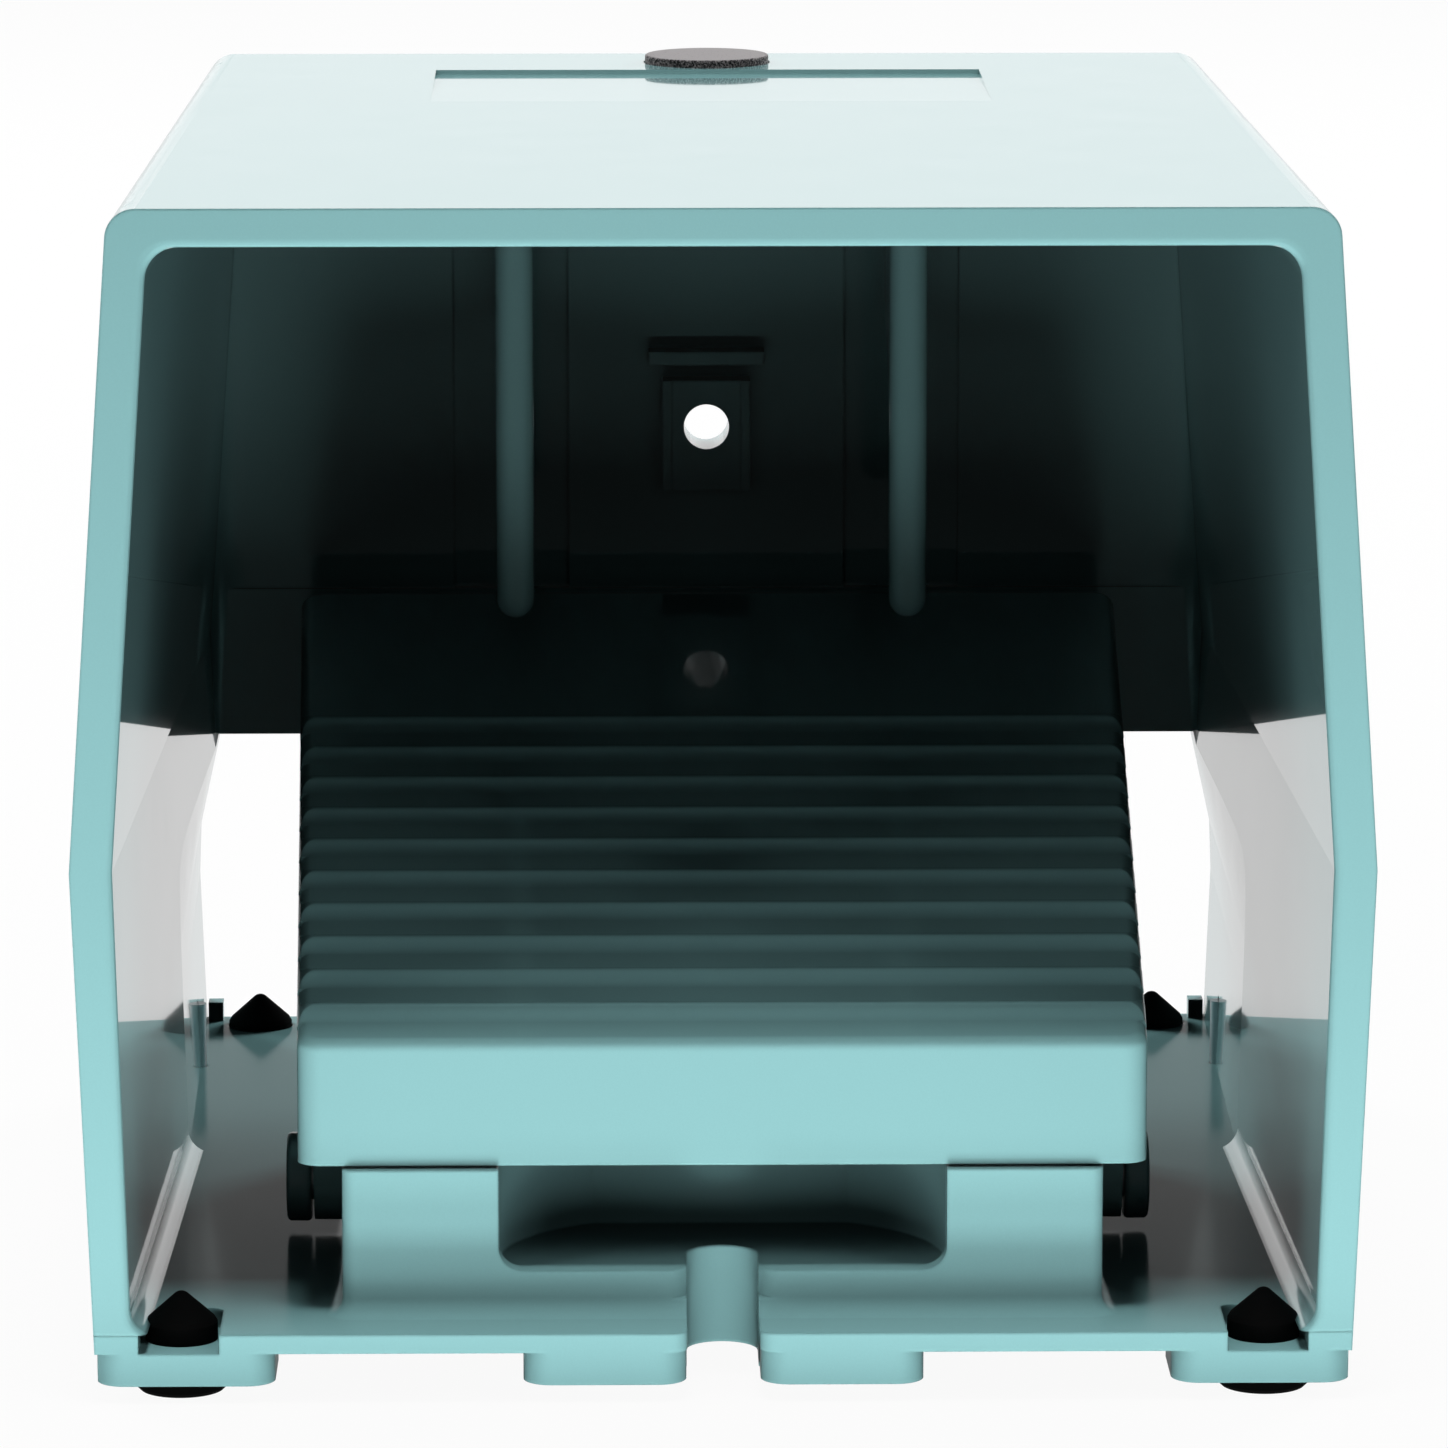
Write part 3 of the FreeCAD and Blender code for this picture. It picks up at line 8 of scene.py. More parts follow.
import bpy
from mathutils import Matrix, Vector

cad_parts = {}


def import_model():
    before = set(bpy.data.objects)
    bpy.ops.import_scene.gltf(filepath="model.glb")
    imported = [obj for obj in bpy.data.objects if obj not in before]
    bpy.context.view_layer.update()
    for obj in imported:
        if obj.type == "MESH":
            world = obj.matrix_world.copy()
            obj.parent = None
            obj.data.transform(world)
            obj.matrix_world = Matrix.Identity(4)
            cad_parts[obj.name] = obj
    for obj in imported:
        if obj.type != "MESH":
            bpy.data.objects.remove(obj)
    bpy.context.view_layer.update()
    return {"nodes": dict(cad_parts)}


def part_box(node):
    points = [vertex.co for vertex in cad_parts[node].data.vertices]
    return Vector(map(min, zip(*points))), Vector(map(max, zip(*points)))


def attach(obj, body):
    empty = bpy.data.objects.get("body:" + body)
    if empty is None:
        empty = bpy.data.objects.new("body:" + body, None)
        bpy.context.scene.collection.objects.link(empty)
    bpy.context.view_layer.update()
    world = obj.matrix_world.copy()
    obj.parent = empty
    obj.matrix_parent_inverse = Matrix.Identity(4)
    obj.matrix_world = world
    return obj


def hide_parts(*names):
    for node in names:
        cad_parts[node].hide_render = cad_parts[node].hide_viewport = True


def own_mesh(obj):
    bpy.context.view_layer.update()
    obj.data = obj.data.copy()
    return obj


LOG = logging.getLogger("foot_pedal_switch")
Colour = tuple[float, float, float]
Wire = bpy.types.NodeSocket
Feed = Wire | float | tuple[float, ...]


class Texture(Enum):
    """The small relief a finish carries."""

    ENAMEL = "enamel"
    MOULDED = "moulded"
    BRUSHED = "brushed"
    TURNED = "turned"
    SPECKLED = "speckled"


@dataclass(frozen=True)
class Finish:
    """A finish that several parts may share."""

    name: str
    colour: Colour
    roughness: float
    texture: Texture
    metallic: float = 0.0
    coat: float = 0.0
    drift: float = 0.04
    grain_scale: float = 900.0
    relief: float = 0.05
    rough_drift: float = 0.04
    edge_radius: float = 0.0
    # Share of a painted highlight mixed in along edges
    edge_light: float = 0.0
    second: Colour = (0.5, 0.5, 0.5)
    ior: float = 1.5
    specular: float = 0.5
    grain_tone: float = 0.0


TURQUOISE = Finish("turquoise_enamel", (0.33, 0.655, 0.67), 0.24, Texture.ENAMEL, coat=1.0,
                   drift=0.018, grain_scale=420.0, relief=0.010, rough_drift=0.03,
                   edge_radius=0.0006, edge_light=0.10, specular=0.05, grain_tone=0.035)
SATIN_TURQUOISE = Finish("turquoise_satin", (0.33, 0.655, 0.67), 0.13, Texture.ENAMEL,
                         drift=0.018, grain_scale=420.0, relief=0.010, rough_drift=0.03,
                         edge_radius=0.0006, edge_light=0.10, ior=1.14, grain_tone=0.035)
# Painted shade: a darker copy of the turquoise enamel for the hinge caps, which sit in shadow
SHADED_HEAD_PAINT = Finish("painted_shade_teal_heads", (0.20, 0.40, 0.41), 0.28, Texture.ENAMEL, coat=0.1,
                    drift=0.03, grain_scale=600.0, relief=0.02, edge_radius=0.0004, edge_light=0.12)
FOOT_RUBBER = Finish("black_foot_rubber", (0.004, 0.004, 0.004), 0.85, Texture.MOULDED,
                     drift=0.2, grain_scale=1600.0, relief=0.05, specular=0.1)
SEAL_RUBBER = Finish("seal_rubber", (0.012, 0.012, 0.012), 0.6, Texture.MOULDED, drift=0.2)
ZINC = Finish("zinc_plated_steel", (0.56, 0.57, 0.59), 0.32, Texture.BRUSHED, metallic=1.0,
              grain_scale=1400.0, relief=0.03)
SPRING_STEEL = Finish("spring_steel", (0.42, 0.43, 0.45), 0.3, Texture.TURNED, metallic=1.0)
BRONZE = Finish("bush_bronze", (0.55, 0.38, 0.16), 0.38, Texture.TURNED, metallic=1.0)
BRASS = Finish("terminal_brass", (0.72, 0.53, 0.22), 0.3, Texture.TURNED, metallic=1.0)
COVER_PLASTIC = Finish("cover_plastic", (0.03, 0.03, 0.033), 0.5, Texture.MOULDED, drift=0.1)
BLOCK_PLASTIC = Finish("block_plastic", (0.05, 0.05, 0.055), 0.45, Texture.MOULDED, drift=0.1)
PLUNGER_PLASTIC = Finish("plunger_plastic", (0.72, 0.70, 0.64), 0.3, Texture.MOULDED)
GLAND_PLASTIC = Finish("gland_plastic", (0.02, 0.02, 0.022), 0.42, Texture.MOULDED, drift=0.1)
BUTTON_TOP = Finish("speckled_button", (0.010, 0.011, 0.012), 0.55, Texture.SPECKLED,
                    drift=0.1, relief=0.03, second=(0.42, 0.40, 0.405), specular=0.25)


# Shared effects
FINE_DETAIL = 3.0
RIPPLE_DETAIL = 1.0
RIPPLE_SHARE = 0.3
CLOUD_DETAIL = 4.0
FLECK_DETAIL = 5.0
FLECK_ROUGHNESS = 0.75
FLECK_CONTRAST = 14.0
EDGE_STARTS = 0.02
EDGE_FULL = 0.28
ROUNDING_SAMPLES = 4

# Materials
COAT_ROUGHNESS = 0.04
SPECK_SCALE = 4200.0
GLOSS_SCALE = 90.0
GLOSS_SWING = 4
BRUSHED_STRETCH = 0.06
RELIEF_DEPTH = 0.0004
BUTTON_FLECK_SCALE = 3600.0
COVER_ON_TOP = 0.36
COVER_ON_SIDES = 0.52
FACES_UP = 0.8
# Painted edge highlight: a lighter copy of the colour mixed in along edges, broken up by flecks
EDGE_HIGHLIGHT_BREAK_SCALE = 160.0
EDGE_HIGHLIGHT_BREAK_COVER = 0.5
EDGE_HIGHLIGHT_REACH = 1.5
EDGE_HIGHLIGHT_GAIN = 1.5
EDGE_HIGHLIGHT_LIFT = 0.05


class Graph:
    """Adds nodes to one node tree and wires them."""

    def __init__(self, tree: bpy.types.NodeTree) -> None:
        """Starts on a tree.

        Args:
            tree: the tree that gets the nodes.
        """
        self.nodes, self.links = tree.nodes, tree.links

    def add(self, kind: str, inputs: dict[str | int, Feed] | None = None,
            **settings: object) -> bpy.types.Node:
        """Adds a node.

        Args:
            kind: the node's type, without the start that all shader nodes share.
            inputs: what goes into its inputs, by name or place: an output or a plain value.
            settings: the node's own settings.

        Returns:
            The node.
        """
        node = self.nodes.new("ShaderNode" + kind)
        for name, value in settings.items():
            setattr(node, name, value)
        for key, value in (inputs or {}).items():
            if isinstance(value, Wire):
                self.links.new(value, node.inputs[key])
            else:
                node.inputs[key].default_value = value
        return node

    def math(self, operation: str, *values: Feed, clamp: bool = False) -> Wire:
        """Reckons with up to three values.

        Args:
            operation: what to do.
            values: the values, in order.
            clamp: whether the result stays between 0 and 1.

        Returns:
            The result.
        """
        return self.add("Math", dict(enumerate(values)), operation=operation,
                        use_clamp=clamp).outputs[0]

    def ramp(self, value: Wire, low: float, high: float, first: float = 0.0,
             last: float = 1.0) -> Wire:
        """Turns one range of values into another.

        Args:
            value: the value.
            low: where the range starts.
            high: where it ends.
            first: the result at its start and before.
            last: the result at its end and beyond.

        Returns:
            The result.
        """
        return self.add("MapRange", {"Value": value, "From Min": low, "From Max": high,
                                     "To Min": first, "To Max": last}).outputs[0]

    def noise(self, place: Wire, scale: Feed, detail: float, roughness: float = 0.5) -> Wire:
        """Cloudy noise.

        Args:
            place: the coordinates.
            scale: its scale.
            detail: how many finer layers it has.
            roughness: how strong they are.

        Returns:
            The noise, around one half.
        """
        return self.add("TexNoise", {"Vector": place, "Scale": scale, "Detail": detail,
                                     "Roughness": roughness}).outputs["Fac"]

    def choose(self, amount: Wire, first: Feed, second: Feed) -> Wire:
        """Mixes two numbers.

        Args:
            amount: the second one's share.
            first: the number at 0.
            second: the number at 1.

        Returns:
            The mixed number.
        """
        return self.add("Mix", {0: amount, 2: first, 3: second}).outputs[0]

    def tint(self, amount: Wire, base: Wire, colour: Colour) -> Wire:
        """Mixes a plain colour into another.

        Args:
            amount: the plain colour's share.
            base: the colour so far.
            colour: the plain colour.

        Returns:
            The mixed colour.
        """
        return self.add("Mix", {0: amount, 6: base, 7: (*colour, 1.0)}, data_type="RGBA").outputs[2]

    def object_place(self) -> Wire:
        """Gives the coordinates that stay with the object."""
        return self.add("TexCoord").outputs["Object"]

    def eyes(self) -> tuple[Wire, Wire]:
        """Tells which rays look at a surface.

        Returns:
            Whether it is seen directly or through glass, and whether it is seen in a gloss.
        """
        path = self.add("LightPath")
        seen = self.math("MAXIMUM", path.outputs["Is Camera Ray"],
                         path.outputs["Is Transmission Ray"])
        return seen, path.outputs["Is Glossy Ray"]


class Groups:
    """Shared effects, each a node group that is built once."""

    def __init__(self) -> None:
        """Builds every group."""
        self.grain = self._grain()
        self.drift = self._drift()
        self.edges = self._edges()
        self.flecks = self._flecks()

    @staticmethod
    def _open(name: str, inputs: dict[str, float],
              output: str) -> tuple[bpy.types.NodeTree, Graph, dict[str, Wire]]:
        """Starts a group.

        Args:
            name: the group's name.
            inputs: input sockets and their default values.
            output: its one output socket.

        Returns:
            The node tree, its graph and what comes in, by name.
        """
        tree = bpy.data.node_groups.new(name, "ShaderNodeTree")
        for label, value in inputs.items():
            socket = tree.interface.new_socket(label, in_out="INPUT",
                                               socket_type="NodeSocketFloat")
            socket.default_value = value
        tree.interface.new_socket(output, in_out="OUTPUT", socket_type="NodeSocketFloat")
        entry = tree.nodes.new("NodeGroupInput")
        return tree, Graph(tree), {label: entry.outputs[label] for label in inputs}

    @staticmethod
    def _close(tree: bpy.types.NodeTree, result: Wire) -> bpy.types.NodeTree:
        """Ends a group.

        Args:
            tree: the group's node tree.
            result: what goes out.

        Returns:
            The node tree.
        """
        leave = tree.nodes.new("NodeGroupOutput")
        tree.links.new(result, leave.inputs[0])
        return tree

    def _grain(self) -> bpy.types.NodeTree:
        """Fine relief: a coarse ripple with a finer grain on it.

        Returns:
            The group with a Height output.
        """
        tree, graph, given = self._open("fine_grain", {"Scale": 900.0, "Stretch": 1.0}, "Height")
        stretch = graph.add("CombineXYZ", {0: given["Stretch"], 1: 1.0, 2: 1.0}).outputs[0]
        place = graph.add("VectorMath", {0: graph.object_place(), 1: stretch},
                          operation="MULTIPLY").outputs[0]
        fine = graph.noise(place, given["Scale"], FINE_DETAIL)
        ripple_scale = graph.math("MULTIPLY", given["Scale"], RIPPLE_SHARE)
        ripple = graph.noise(place, ripple_scale, RIPPLE_DETAIL)
        return self._close(tree, graph.math("ADD", fine, ripple))

    def _drift(self) -> bpy.types.NodeTree:
        """Slow change of tone over a surface.

        Returns:
            The group with a Factor output around 1.
        """
        tree, graph, given = self._open("tone_drift", {"Amount": 0.04, "Scale": 28.0}, "Factor")
        cloud = graph.noise(graph.object_place(), given["Scale"], CLOUD_DETAIL)
        centred = graph.math("SUBTRACT", cloud, 0.5)
        spread = graph.math("MULTIPLY", centred, given["Amount"])
        return self._close(tree, graph.math("MULTIPLY_ADD", spread, 2.0, 1.0))

    def _edges(self) -> bpy.types.NodeTree:
        """Mask of edges, found where a rounded normal leaves the flat one.

        Returns:
            The group with a Mask output, 0 on flats and 1 on edges.
        """
        tree, graph, given = self._open("edge_mask", {"Radius": 0.0006}, "Mask")
        rounded = graph.add("Bevel", {"Radius": given["Radius"]}, samples=ROUNDING_SAMPLES)
        flat = graph.add("NewGeometry")
        alike = graph.add("VectorMath", {0: rounded.outputs["Normal"], 1: flat.outputs["Normal"]},
                          operation="DOT_PRODUCT").outputs["Value"]
        turned = graph.math("SUBTRACT", 1.0, alike)
        return self._close(tree, graph.ramp(turned, EDGE_STARTS, EDGE_FULL))

    def _flecks(self) -> bpy.types.NodeTree:
        """Irregular flecks.

        Returns:
            The group with a Mask output, 1 on flecks.
        """
        tree, graph, given = self._open("flecks", {"Scale": 700.0, "Cover": 0.5}, "Mask")
        cloud = graph.noise(graph.object_place(), given["Scale"], FLECK_DETAIL, FLECK_ROUGHNESS)
        above = graph.math("SUBTRACT", cloud, given["Cover"])
        sharp = graph.math("MULTIPLY_ADD", above, FLECK_CONTRAST, 0.5, clamp=True)
        return self._close(tree, sharp)


class Dresser:
    """Makes one material for each finish and puts it on parts."""

    def __init__(self, groups: Groups) -> None:
        """Keeps the groups.

        Args:
            groups: the shared effects.
        """
        self.groups = groups
        self.made: dict[str, bpy.types.Material] = {}

    @staticmethod
    def _effect(graph: Graph, tree: bpy.types.NodeTree, **values: float) -> Wire:
        """Places a shared effect with its own values.

        Args:
            graph: the material's graph.
            tree: the effect's group.
            values: input values by socket name.

        Returns:
            The effect's output.
        """
        return graph.add("Group", values, node_tree=tree).outputs[0]

    def material(self, finish: Finish) -> bpy.types.Material:
        """Builds the material of a finish, once.

        Args:
            finish: the finish.

        Returns:
            The material.
        """
        if finish.name not in self.made:
            made = bpy.data.materials.new(finish.name)
            made.use_nodes = True
            made.node_tree.nodes.clear()
            graph = Graph(made.node_tree)
            shader = graph.add("BsdfPrincipled", {
                "Metallic": finish.metallic,
                "Coat Weight": finish.coat,
                "Coat Roughness": COAT_ROUGHNESS,
                "IOR": finish.ior,
                "Specular IOR Level": finish.specular,
                "Base Color": self._colour(graph, finish),
                "Roughness": self._roughness(graph, finish),
                "Normal": self._relief(graph, finish),
            })
            graph.add("OutputMaterial", {"Surface": shader.outputs[0]})
            self.made[finish.name] = made
        return self.made[finish.name]

    def _colour(self, graph: Graph, finish: Finish) -> Wire:
        """Drifting colour with specks, flecks and a painted highlight along edges.

        Args:
            graph: the material's graph.
            finish: the finish.

        Returns:
            The colour.
        """
        drift = self._effect(graph, self.groups.drift, Amount=finish.drift)
        colour = graph.add("VectorMath", {0: finish.colour, "Scale": drift},
                           operation="SCALE").outputs[0]
        if finish.grain_tone > 0:
            specks = self._effect(graph, self.groups.drift, Amount=finish.grain_tone,
                                  Scale=SPECK_SCALE)
            colour = graph.add("VectorMath", {0: colour, "Scale": specks},
                               operation="SCALE").outputs[0]
        if finish.texture is Texture.SPECKLED:
            colour = self._fleck(graph, finish, colour)
        # Painted highlight along the edges
        if finish.edge_light > 0:
            colour = self._painted_edge_highlight(graph, finish, colour)
        return colour

    def _fleck(self, graph: Graph, finish: Finish, base: Wire) -> Wire:
        """Mixes flecks of the second colour in, dense on top faces and thin on sides.

        Args:
            graph: the material's graph.
            finish: the finish.
            base: the colour so far.

        Returns:
            The mixed colour.
        """
        dense, thin = (self._effect(graph, self.groups.flecks, Scale=BUTTON_FLECK_SCALE,
                                    Cover=cover) for cover in (COVER_ON_TOP, COVER_ON_SIDES))
        normal = graph.add("NewGeometry").outputs["Normal"]
        rise = graph.add("SeparateXYZ", {0: normal}).outputs["Z"]
        faces_up = graph.math("GREATER_THAN", rise, FACES_UP)
        return graph.tint(graph.choose(faces_up, thin, dense), base, finish.second)

    def _painted_edge_highlight(self, graph: Graph, finish: Finish, base: Wire) -> Wire:
        """Paints a lighter highlight along its edges, broken up by flecks.

        Args:
            graph: the material's graph.
            finish: the finish.
            base: the colour so far.

        Returns:
            The mixed colour.
        """
        edge = self._effect(graph, self.groups.edges, Radius=finish.edge_radius * EDGE_HIGHLIGHT_REACH)
        broken = self._effect(graph, self.groups.flecks, Scale=EDGE_HIGHLIGHT_BREAK_SCALE, Cover=EDGE_HIGHLIGHT_BREAK_COVER)
        amount = graph.math("MULTIPLY", graph.math("MULTIPLY", edge, broken), finish.edge_light)
        highlight_colour = tuple(min(1.0, part * EDGE_HIGHLIGHT_GAIN + EDGE_HIGHLIGHT_LIFT) for part in finish.colour)
        return graph.tint(amount, base, highlight_colour)

    def _roughness(self, graph: Graph, finish: Finish) -> Wire:
        """Roughness that drifts over the surface.

        Args:
            graph: the material's graph.
            finish: the finish.

        Returns:
            The roughness.
        """
        swing = self._effect(graph, self.groups.drift, Amount=finish.rough_drift * GLOSS_SWING,
                             Scale=GLOSS_SCALE)
        return graph.math("MULTIPLY", swing, finish.roughness)

    def _relief(self, graph: Graph, finish: Finish) -> Wire:
        """Fine relief, and a soft edge where the finish has one.

        Args:
            graph: the material's graph.
            finish: the finish.

        Returns:
            The normal.
        """
        stretch = BRUSHED_STRETCH if finish.texture is Texture.BRUSHED else 1.0
        height = self._effect(graph, self.groups.grain, Scale=finish.grain_scale, Stretch=stretch)
        inputs: dict[str, Feed] = {"Strength": finish.relief, "Distance": RELIEF_DEPTH,
                                   "Height": height}
        if finish.edge_radius > 0:
            inputs["Normal"] = graph.add("Bevel", {"Radius": finish.edge_radius},
                                         samples=ROUNDING_SAMPLES).outputs["Normal"]
        return graph.add("Bump", inputs).outputs["Normal"]

    def dress(self, thing: bpy.types.Object, finish: Finish) -> None:
        """Puts a finish on a part.

        Args:
            thing: the part.
            finish: its finish.
        """
        made = self.material(finish)
        thing.data.materials.clear()
        thing.data.materials.append(made)


@dataclass(frozen=True)
class CoilSpring:
    """A spring wound to stand in for an imported spring part."""

    name: str
    node: str
    joint: str
    seat_z: float
    stroke: float
    wire_radius: float
    turns: int
    sides: int = 12
    steps: int = 40
    merge_distance: float = 1e-7
    smooth_deg: float = 50.0

    def build(self, dresser: Dresser) -> bpy.types.Object:
        """Winds the spring between the ends of the part it replaces, hides that part and hangs the
        spring on the housing.

        Args:
            dresser: makes its material.

        Returns:
            The spring.
        """
        low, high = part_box(self.node)
        middle = (low + high) / 2
        length = high.z - low.z
        start = Vector((middle.x, middle.y, low.z + self.wire_radius))
        spring = self._wire_section(start, (high.x - low.x) / 2 - self.wire_radius)
        self._wind(spring, (length - 2 * self.wire_radius) / self.turns)
        self._close_ends()
        bpy.ops.object.transform_apply(location=True, rotation=True, scale=True)
        bpy.ops.object.shade_smooth_by_angle(angle=math.radians(self.smooth_deg))
        dresser.dress(spring, SPRING_STEEL)
        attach(spring, "housing")
        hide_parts(self.node)
        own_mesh(spring)
        return spring

    def _wire_section(self, start: Vector, mean_radius: float) -> bpy.types.Object:
        """Sets the wire's round section upright beside the spring's axis.

        Args:
            start: a point on the axis, at the height of the first turn.
            mean_radius: how far the wire's middle is from the axis.

        Returns:
            The section, with its origin on the axis.
        """
        bpy.ops.object.select_all(action="DESELECT")
        bpy.ops.mesh.primitive_circle_add(vertices=self.sides, radius=self.wire_radius,
                                          location=start, rotation=(math.pi / 2, 0.0, 0.0))
        section = bpy.context.active_object
        section.name = self.name
        bpy.ops.object.transform_apply(location=False, rotation=True, scale=True)
        bpy.ops.object.mode_set(mode="EDIT")
        bpy.ops.mesh.select_all(action="SELECT")
        bpy.ops.transform.translate(value=(mean_radius, 0.0, 0.0))
        bpy.ops.object.mode_set(mode="OBJECT")
        return section

    def _wind(self, section: bpy.types.Object, pitch: float) -> None:
        """Winds the section up round its origin.

        Args:
            section: the wire's section.
            pitch: how far one turn rises.
        """
        winding = section.modifiers.new("winding", "SCREW")
        winding.axis = "Z"
        winding.angle = 2 * math.pi
        winding.iterations = self.turns
        winding.screw_offset = pitch
        winding.steps = winding.render_steps = self.steps
        bpy.ops.object.modifier_apply(modifier=winding.name)

    def _close_ends(self) -> None:
        """Joins the turns, closes both ends of the wire and turns its faces outwards."""
        bpy.ops.object.mode_set(mode="EDIT")
        bpy.ops.mesh.select_all(action="SELECT")
        bpy.ops.mesh.remove_doubles(threshold=self.merge_distance)
        bpy.ops.mesh.select_all(action="DESELECT")
        bpy.ops.mesh.select_mode(type="EDGE")
        bpy.ops.mesh.select_non_manifold()
        bpy.ops.mesh.fill_holes(sides=0)
        bpy.ops.mesh.select_all(action="SELECT")
        bpy.ops.mesh.normals_make_consistent(inside=False)
        bpy.ops.object.mode_set(mode="OBJECT")


@dataclass
class Assembly:
    """Parts of one sub-assembly, their finishes, and the springs that are wound for it."""

    nodes: dict[str, bpy.types.Object]
    dresser: Dresser
    finishes: dict[str, Finish] = field(default_factory=dict)
    springs: tuple[CoilSpring, ...] = ()

    def build(self) -> None:
        """Dresses every part, winds the springs and reports each piece."""
        kind = type(self).__name__
        for name, finish in self.finishes.items():
            self.dresser.dress(self.nodes[name], finish)
            LOG.info("%s: dressed %s", kind, name)
        for spring in self.springs:
            LOG.info("%s: wound %s", kind, spring.build(self.dresser).name)


@dataclass
class Housing(Assembly):
    """The cast hood and base with what holds them together."""

    finishes: dict[str, Finish] = field(default_factory=lambda: {
        "hood": TURQUOISE,
        "base": SATIN_TURQUOISE,
        **{f"hood_screw_{i}": ZINC for i in range(1, 7)},
        **{f"rubber_foot_{end}_{side}": FOOT_RUBBER for end in ("front", "rear")
           for side in ("left", "right")},
    })


@dataclass
class Treadle(Assembly):
    """The pedal with its hinge."""

    finishes: dict[str, Finish] = field(default_factory=lambda: {
        "pedal": TURQUOISE,
        "hinge_pin": ZINC,
        "hinge_cap_left": SHADED_HEAD_PAINT,
        "hinge_cap_right": SHADED_HEAD_PAINT,
        "hinge_bush_left": BRONZE,
        "hinge_bush_right": BRONZE,
        "actuator_screw": ZINC,
        "actuator_lock_nut": ZINC,
        "stop_buffer_left": SEAL_RUBBER,
        "stop_buffer_right": SEAL_RUBBER,
    })


@dataclass
class SwitchCell(Assembly):
    """What sits in the tub, and the cable gland."""

    finishes: dict[str, Finish] = field(default_factory=lambda: {
        "chamber_cover": COVER_PLASTIC,
        "cover_gasket": SEAL_RUBBER,
        **{f"cover_screw_{i}": ZINC for i in range(1, 5)},
        "switch_bracket": ZINC,
        "contact_block": BLOCK_PLASTIC,
        "terminal_block": BLOCK_PLASTIC,
        **{f"terminal_screw_{i}": BRASS for i in range(1, 5)},
        "switch_plunger": PLUNGER_PLASTIC,
        "return_spring": SPRING_STEEL,
        "gland_body": GLAND_PLASTIC,
        "gland_nut": GLAND_PLASTIC,
        "gland_seal": SEAL_RUBBER,
    })
    springs: tuple[CoilSpring, ...] = (
        CoilSpring("wound_return_spring", "return_spring", "plunger_slide", seat_z=0.02762,
                   stroke=0.0045, wire_radius=0.0006, turns=5),
    )


@dataclass
class ReleaseButton(Assembly):
    """The button in the roof."""

    finishes: dict[str, Finish] = field(default_factory=lambda: {
        "button_cap": BUTTON_TOP,
        "button_stem": ZINC,
        "button_ring": SPRING_STEEL,
        "button_bush": BRONZE,
        "button_spring": SPRING_STEEL,
    })
    springs: tuple[CoilSpring, ...] = (
        CoilSpring("wound_button_spring", "button_spring", "button_slide", seat_z=0.13622,
                   stroke=0.0030, wire_radius=0.0004, turns=5),
    )


@dataclass(frozen=True)
class Lamp:
    """A square soft lamp, placed by its direction from the object."""

    name: str
    azimuth_deg: float
    height_deg: float
    size: float
    power: float


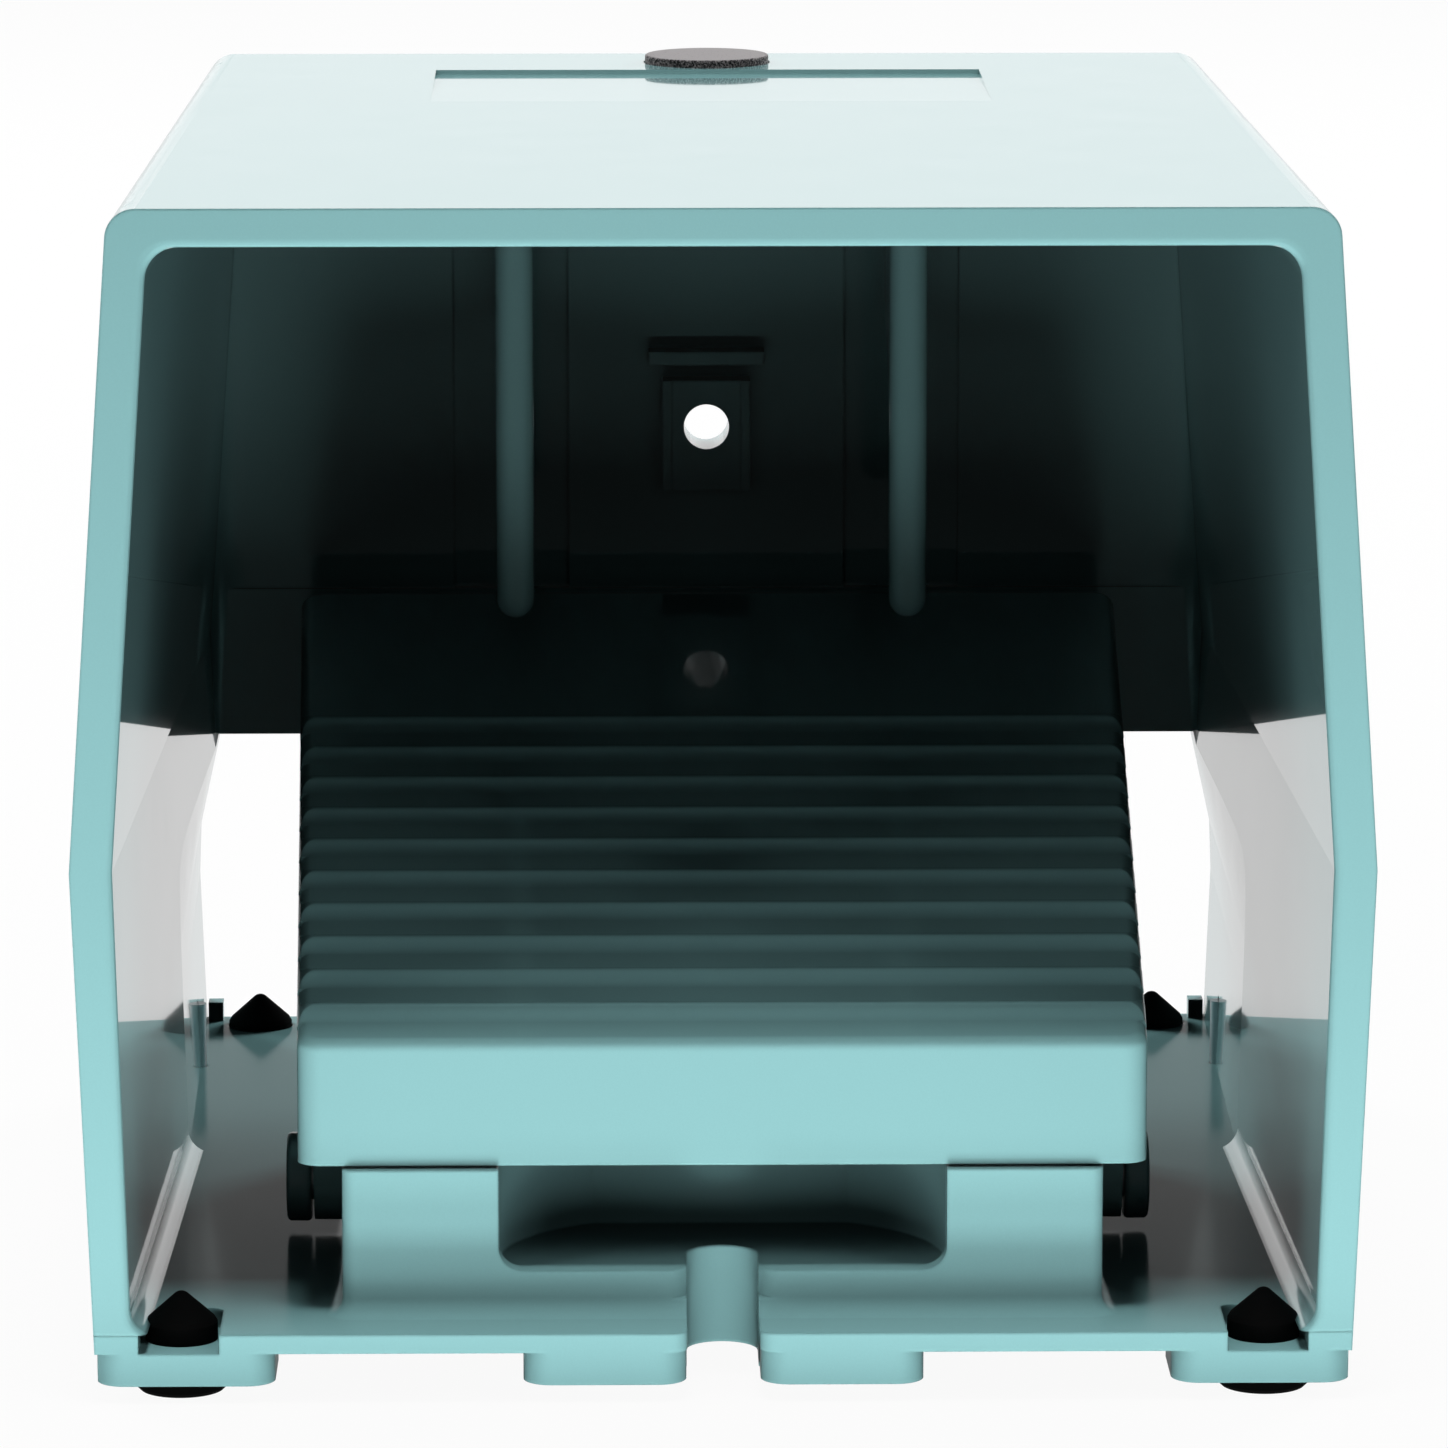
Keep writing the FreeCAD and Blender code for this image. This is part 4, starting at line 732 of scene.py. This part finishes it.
@dataclass
class Studio:
    """Camera, floor, world and lamps."""

    place: tuple[float, float, float] = (-0.01443, -1.09512, 0.27127)
    pitch_deg: float = 10.493
    yaw_deg: float = 0.824
    focal_px: float = 8383.57
    picture_px: float = 1448.0
    sensor_mm: float = 36.0
    clip_end: float = 60.0
    world_fill: float = 0.06
    mirror_front: float = 0.04
    mirror_turns: tuple[float, float] = (-0.25, 0.25)
    mirror_ends_above: tuple[float, float] = (0.19, 0.26)
    floor_half: float = 8.0
    floor_colour: Colour = (0.8, 0.8, 0.8)
    floor_white: float = 0.94
    floor_mirror: float = 0.8
    floor_mirror_turns: tuple[float, float] = (-0.12, 0.09)
    lamp_aim: tuple[float, float, float] = (0.0, -0.03, 0.07)
    lamp_distance: float = 1.8
    # Name, azimuth and height in degrees, size in metres, power in watts
    lamps: tuple[Lamp, ...] = (
        Lamp("overhead", 0.0, 83.0, 0.4, 15.0),
        Lamp("front_low", 0.0, -60.0, 0.3, 11.0),
        Lamp("front_lower", 0.0, -46.0, 0.3, 10.2),
        Lamp("front_inside", 0.0, -26.0, 0.25, 2.2),
        Lamp("side_left", -60.0, 35.0, 0.6, 2.6),
        Lamp("side_right", 60.0, 35.0, 0.6, 2.6),
        Lamp("flank_left", -72.0, 6.0, 0.4, 1.4),
        Lamp("flank_right", 72.0, 6.0, 0.4, 1.8),
        Lamp("back_left", -140.0, 15.0, 0.7, 22.0),
        Lamp("back_right", 140.0, 15.0, 0.7, 22.0),
    )
    strip_size: tuple[float, float] = (0.5, 0.14)
    strip_place: tuple[float, float, float] = (0.0, -0.17, 0.0005)
    strip_power: float = 0.27

    def camera(self) -> None:
        """Sets the camera where the photograph was taken from."""
        data = bpy.data.cameras.new("photo_view")
        data.sensor_width = self.sensor_mm
        data.lens = self.focal_px / self.picture_px * data.sensor_width
        data.clip_end = self.clip_end
        view = bpy.data.objects.new("photo_view", data)
        bpy.context.scene.collection.objects.link(view)
        view.location = self.place
        view.rotation_euler = (math.radians(90.0 - self.pitch_deg), 0.0,
                               -math.radians(self.yaw_deg))
        bpy.context.scene.camera = view

    def world(self) -> None:
        """A world that is white to the eye, dim as a light, and a low white band in mirrors.

        In mirrors it is dark in front and high up, as the photographed paint shows it.
        """
        world = bpy.data.worlds.new("white_room")
        bpy.context.scene.world = world
        world.use_nodes = True
        world.node_tree.nodes.clear()
        graph = Graph(world.node_tree)
        seen, gloss = graph.eyes()
        direction = graph.add("SeparateXYZ", {0: graph.add("TexCoord").outputs["Generated"]})
        behind = graph.ramp(direction.outputs["Y"], *self.mirror_turns, self.mirror_front, 1.0)
        low = graph.ramp(direction.outputs["Z"], *self.mirror_ends_above, 1.0, self.mirror_front)
        shine = graph.math("MULTIPLY", gloss, graph.math("MULTIPLY", behind, low))
        bright = graph.math("MAXIMUM", seen, shine)
        back = graph.add("Background", {"Color": (1.0, 1.0, 1.0, 1.0),
                                        "Strength": graph.math("MAXIMUM", bright,
                                                               self.world_fill)})
        graph.add("OutputWorld", {"Surface": back.outputs[0]})

    def floor(self) -> None:
        """A pale floor that keeps the object's shadow and lets the low lamps through."""
        bpy.ops.object.select_all(action="DESELECT")
        bpy.ops.mesh.primitive_plane_add(size=self.floor_half * 2, location=(0.0, 0.0, 0.0))
        plane = bpy.context.active_object
        plane.name = "floor"
        plane.visible_shadow = False
        made = bpy.data.materials.new("floor_white")
        made.use_nodes = True
        made.node_tree.nodes.clear()
        graph = Graph(made.node_tree)
        seen, gloss = graph.eyes()
        along = graph.add("SeparateXYZ", {0: graph.object_place()}).outputs["Y"]
        mirror = graph.ramp(along, *self.floor_mirror_turns, self.mirror_front, self.floor_mirror)
        glow = graph.add("Emission", {"Strength": graph.choose(gloss, 1.0, mirror)})
        paint = graph.add("BsdfDiffuse", {"Color": (*self.floor_colour, 1.0)})
        share = graph.math("MAXIMUM", graph.math("MULTIPLY", seen, self.floor_white), gloss)
        mix = graph.add("MixShader", {0: share, 1: paint.outputs[0], 2: glow.outputs[0]})
        graph.add("OutputMaterial", {"Surface": mix.outputs[0]})
        plane.data.materials.append(made)

    @staticmethod
    def _light(name: str, shape: str, power: float) -> bpy.types.Object:
        """Makes an area light that neither the camera nor a gloss shows.

        Args:
            name: its name.
            shape: its outline.
            power: its power in watts.

        Returns:
            The light.
        """
        data = bpy.data.lights.new(name, "AREA")
        data.shape = shape
        data.energy = power
        light = bpy.data.objects.new(name, data)
        bpy.context.scene.collection.objects.link(light)
        light.visible_glossy = False
        light.visible_camera = False
        return light

    def hang(self, lamp: Lamp) -> None:
        """Hangs a lamp that faces the object.

        Args:
            lamp: the lamp.
        """
        light = self._light(lamp.name, "SQUARE", lamp.power)
        light.data.size = lamp.size
        turn, rise = math.radians(lamp.azimuth_deg), math.radians(lamp.height_deg)
        away = Vector((math.sin(turn) * math.cos(rise), -math.cos(turn) * math.cos(rise),
                       math.sin(rise)))
        light.location = Vector(self.lamp_aim) + away * self.lamp_distance
        light.rotation_euler = (-away).to_track_quat("-Z", "Y").to_euler()

    def table_glow(self) -> None:
        """Lays a faint strip of light on the floor before the object, below the camera's view."""
        strip = self._light("table_glow", "RECTANGLE", self.strip_power)
        strip.data.size, strip.data.size_y = self.strip_size
        strip.location = self.strip_place
        strip.rotation_euler = (math.pi, 0.0, 0.0)

    def build(self) -> None:
        """Builds the whole studio."""
        self.camera()
        self.world()
        self.floor()
        for lamp in self.lamps:
            self.hang(lamp)
        self.table_glow()
        scene = bpy.context.scene
        scene.cycles.diffuse_bounces = 0
        scene.view_settings.view_transform = "Standard"


def main() -> None:
    """Builds and dresses every sub-assembly, then the studio."""
    logging.basicConfig(level=logging.INFO, format="%(name)s: %(message)s")
    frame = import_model()
    bpy.ops.object.select_all(action="DESELECT")
    dresser = Dresser(Groups())
    bare = set(frame["nodes"])
    for kind in (Housing, Treadle, SwitchCell, ReleaseButton):
        assembly = kind(frame["nodes"], dresser)
        assembly.build()
        bare -= set(assembly.finishes)
    if bare:
        LOG.warning("not dressed: %s", sorted(bare))
    Studio().build()


if __name__ == "__main__":
    main()
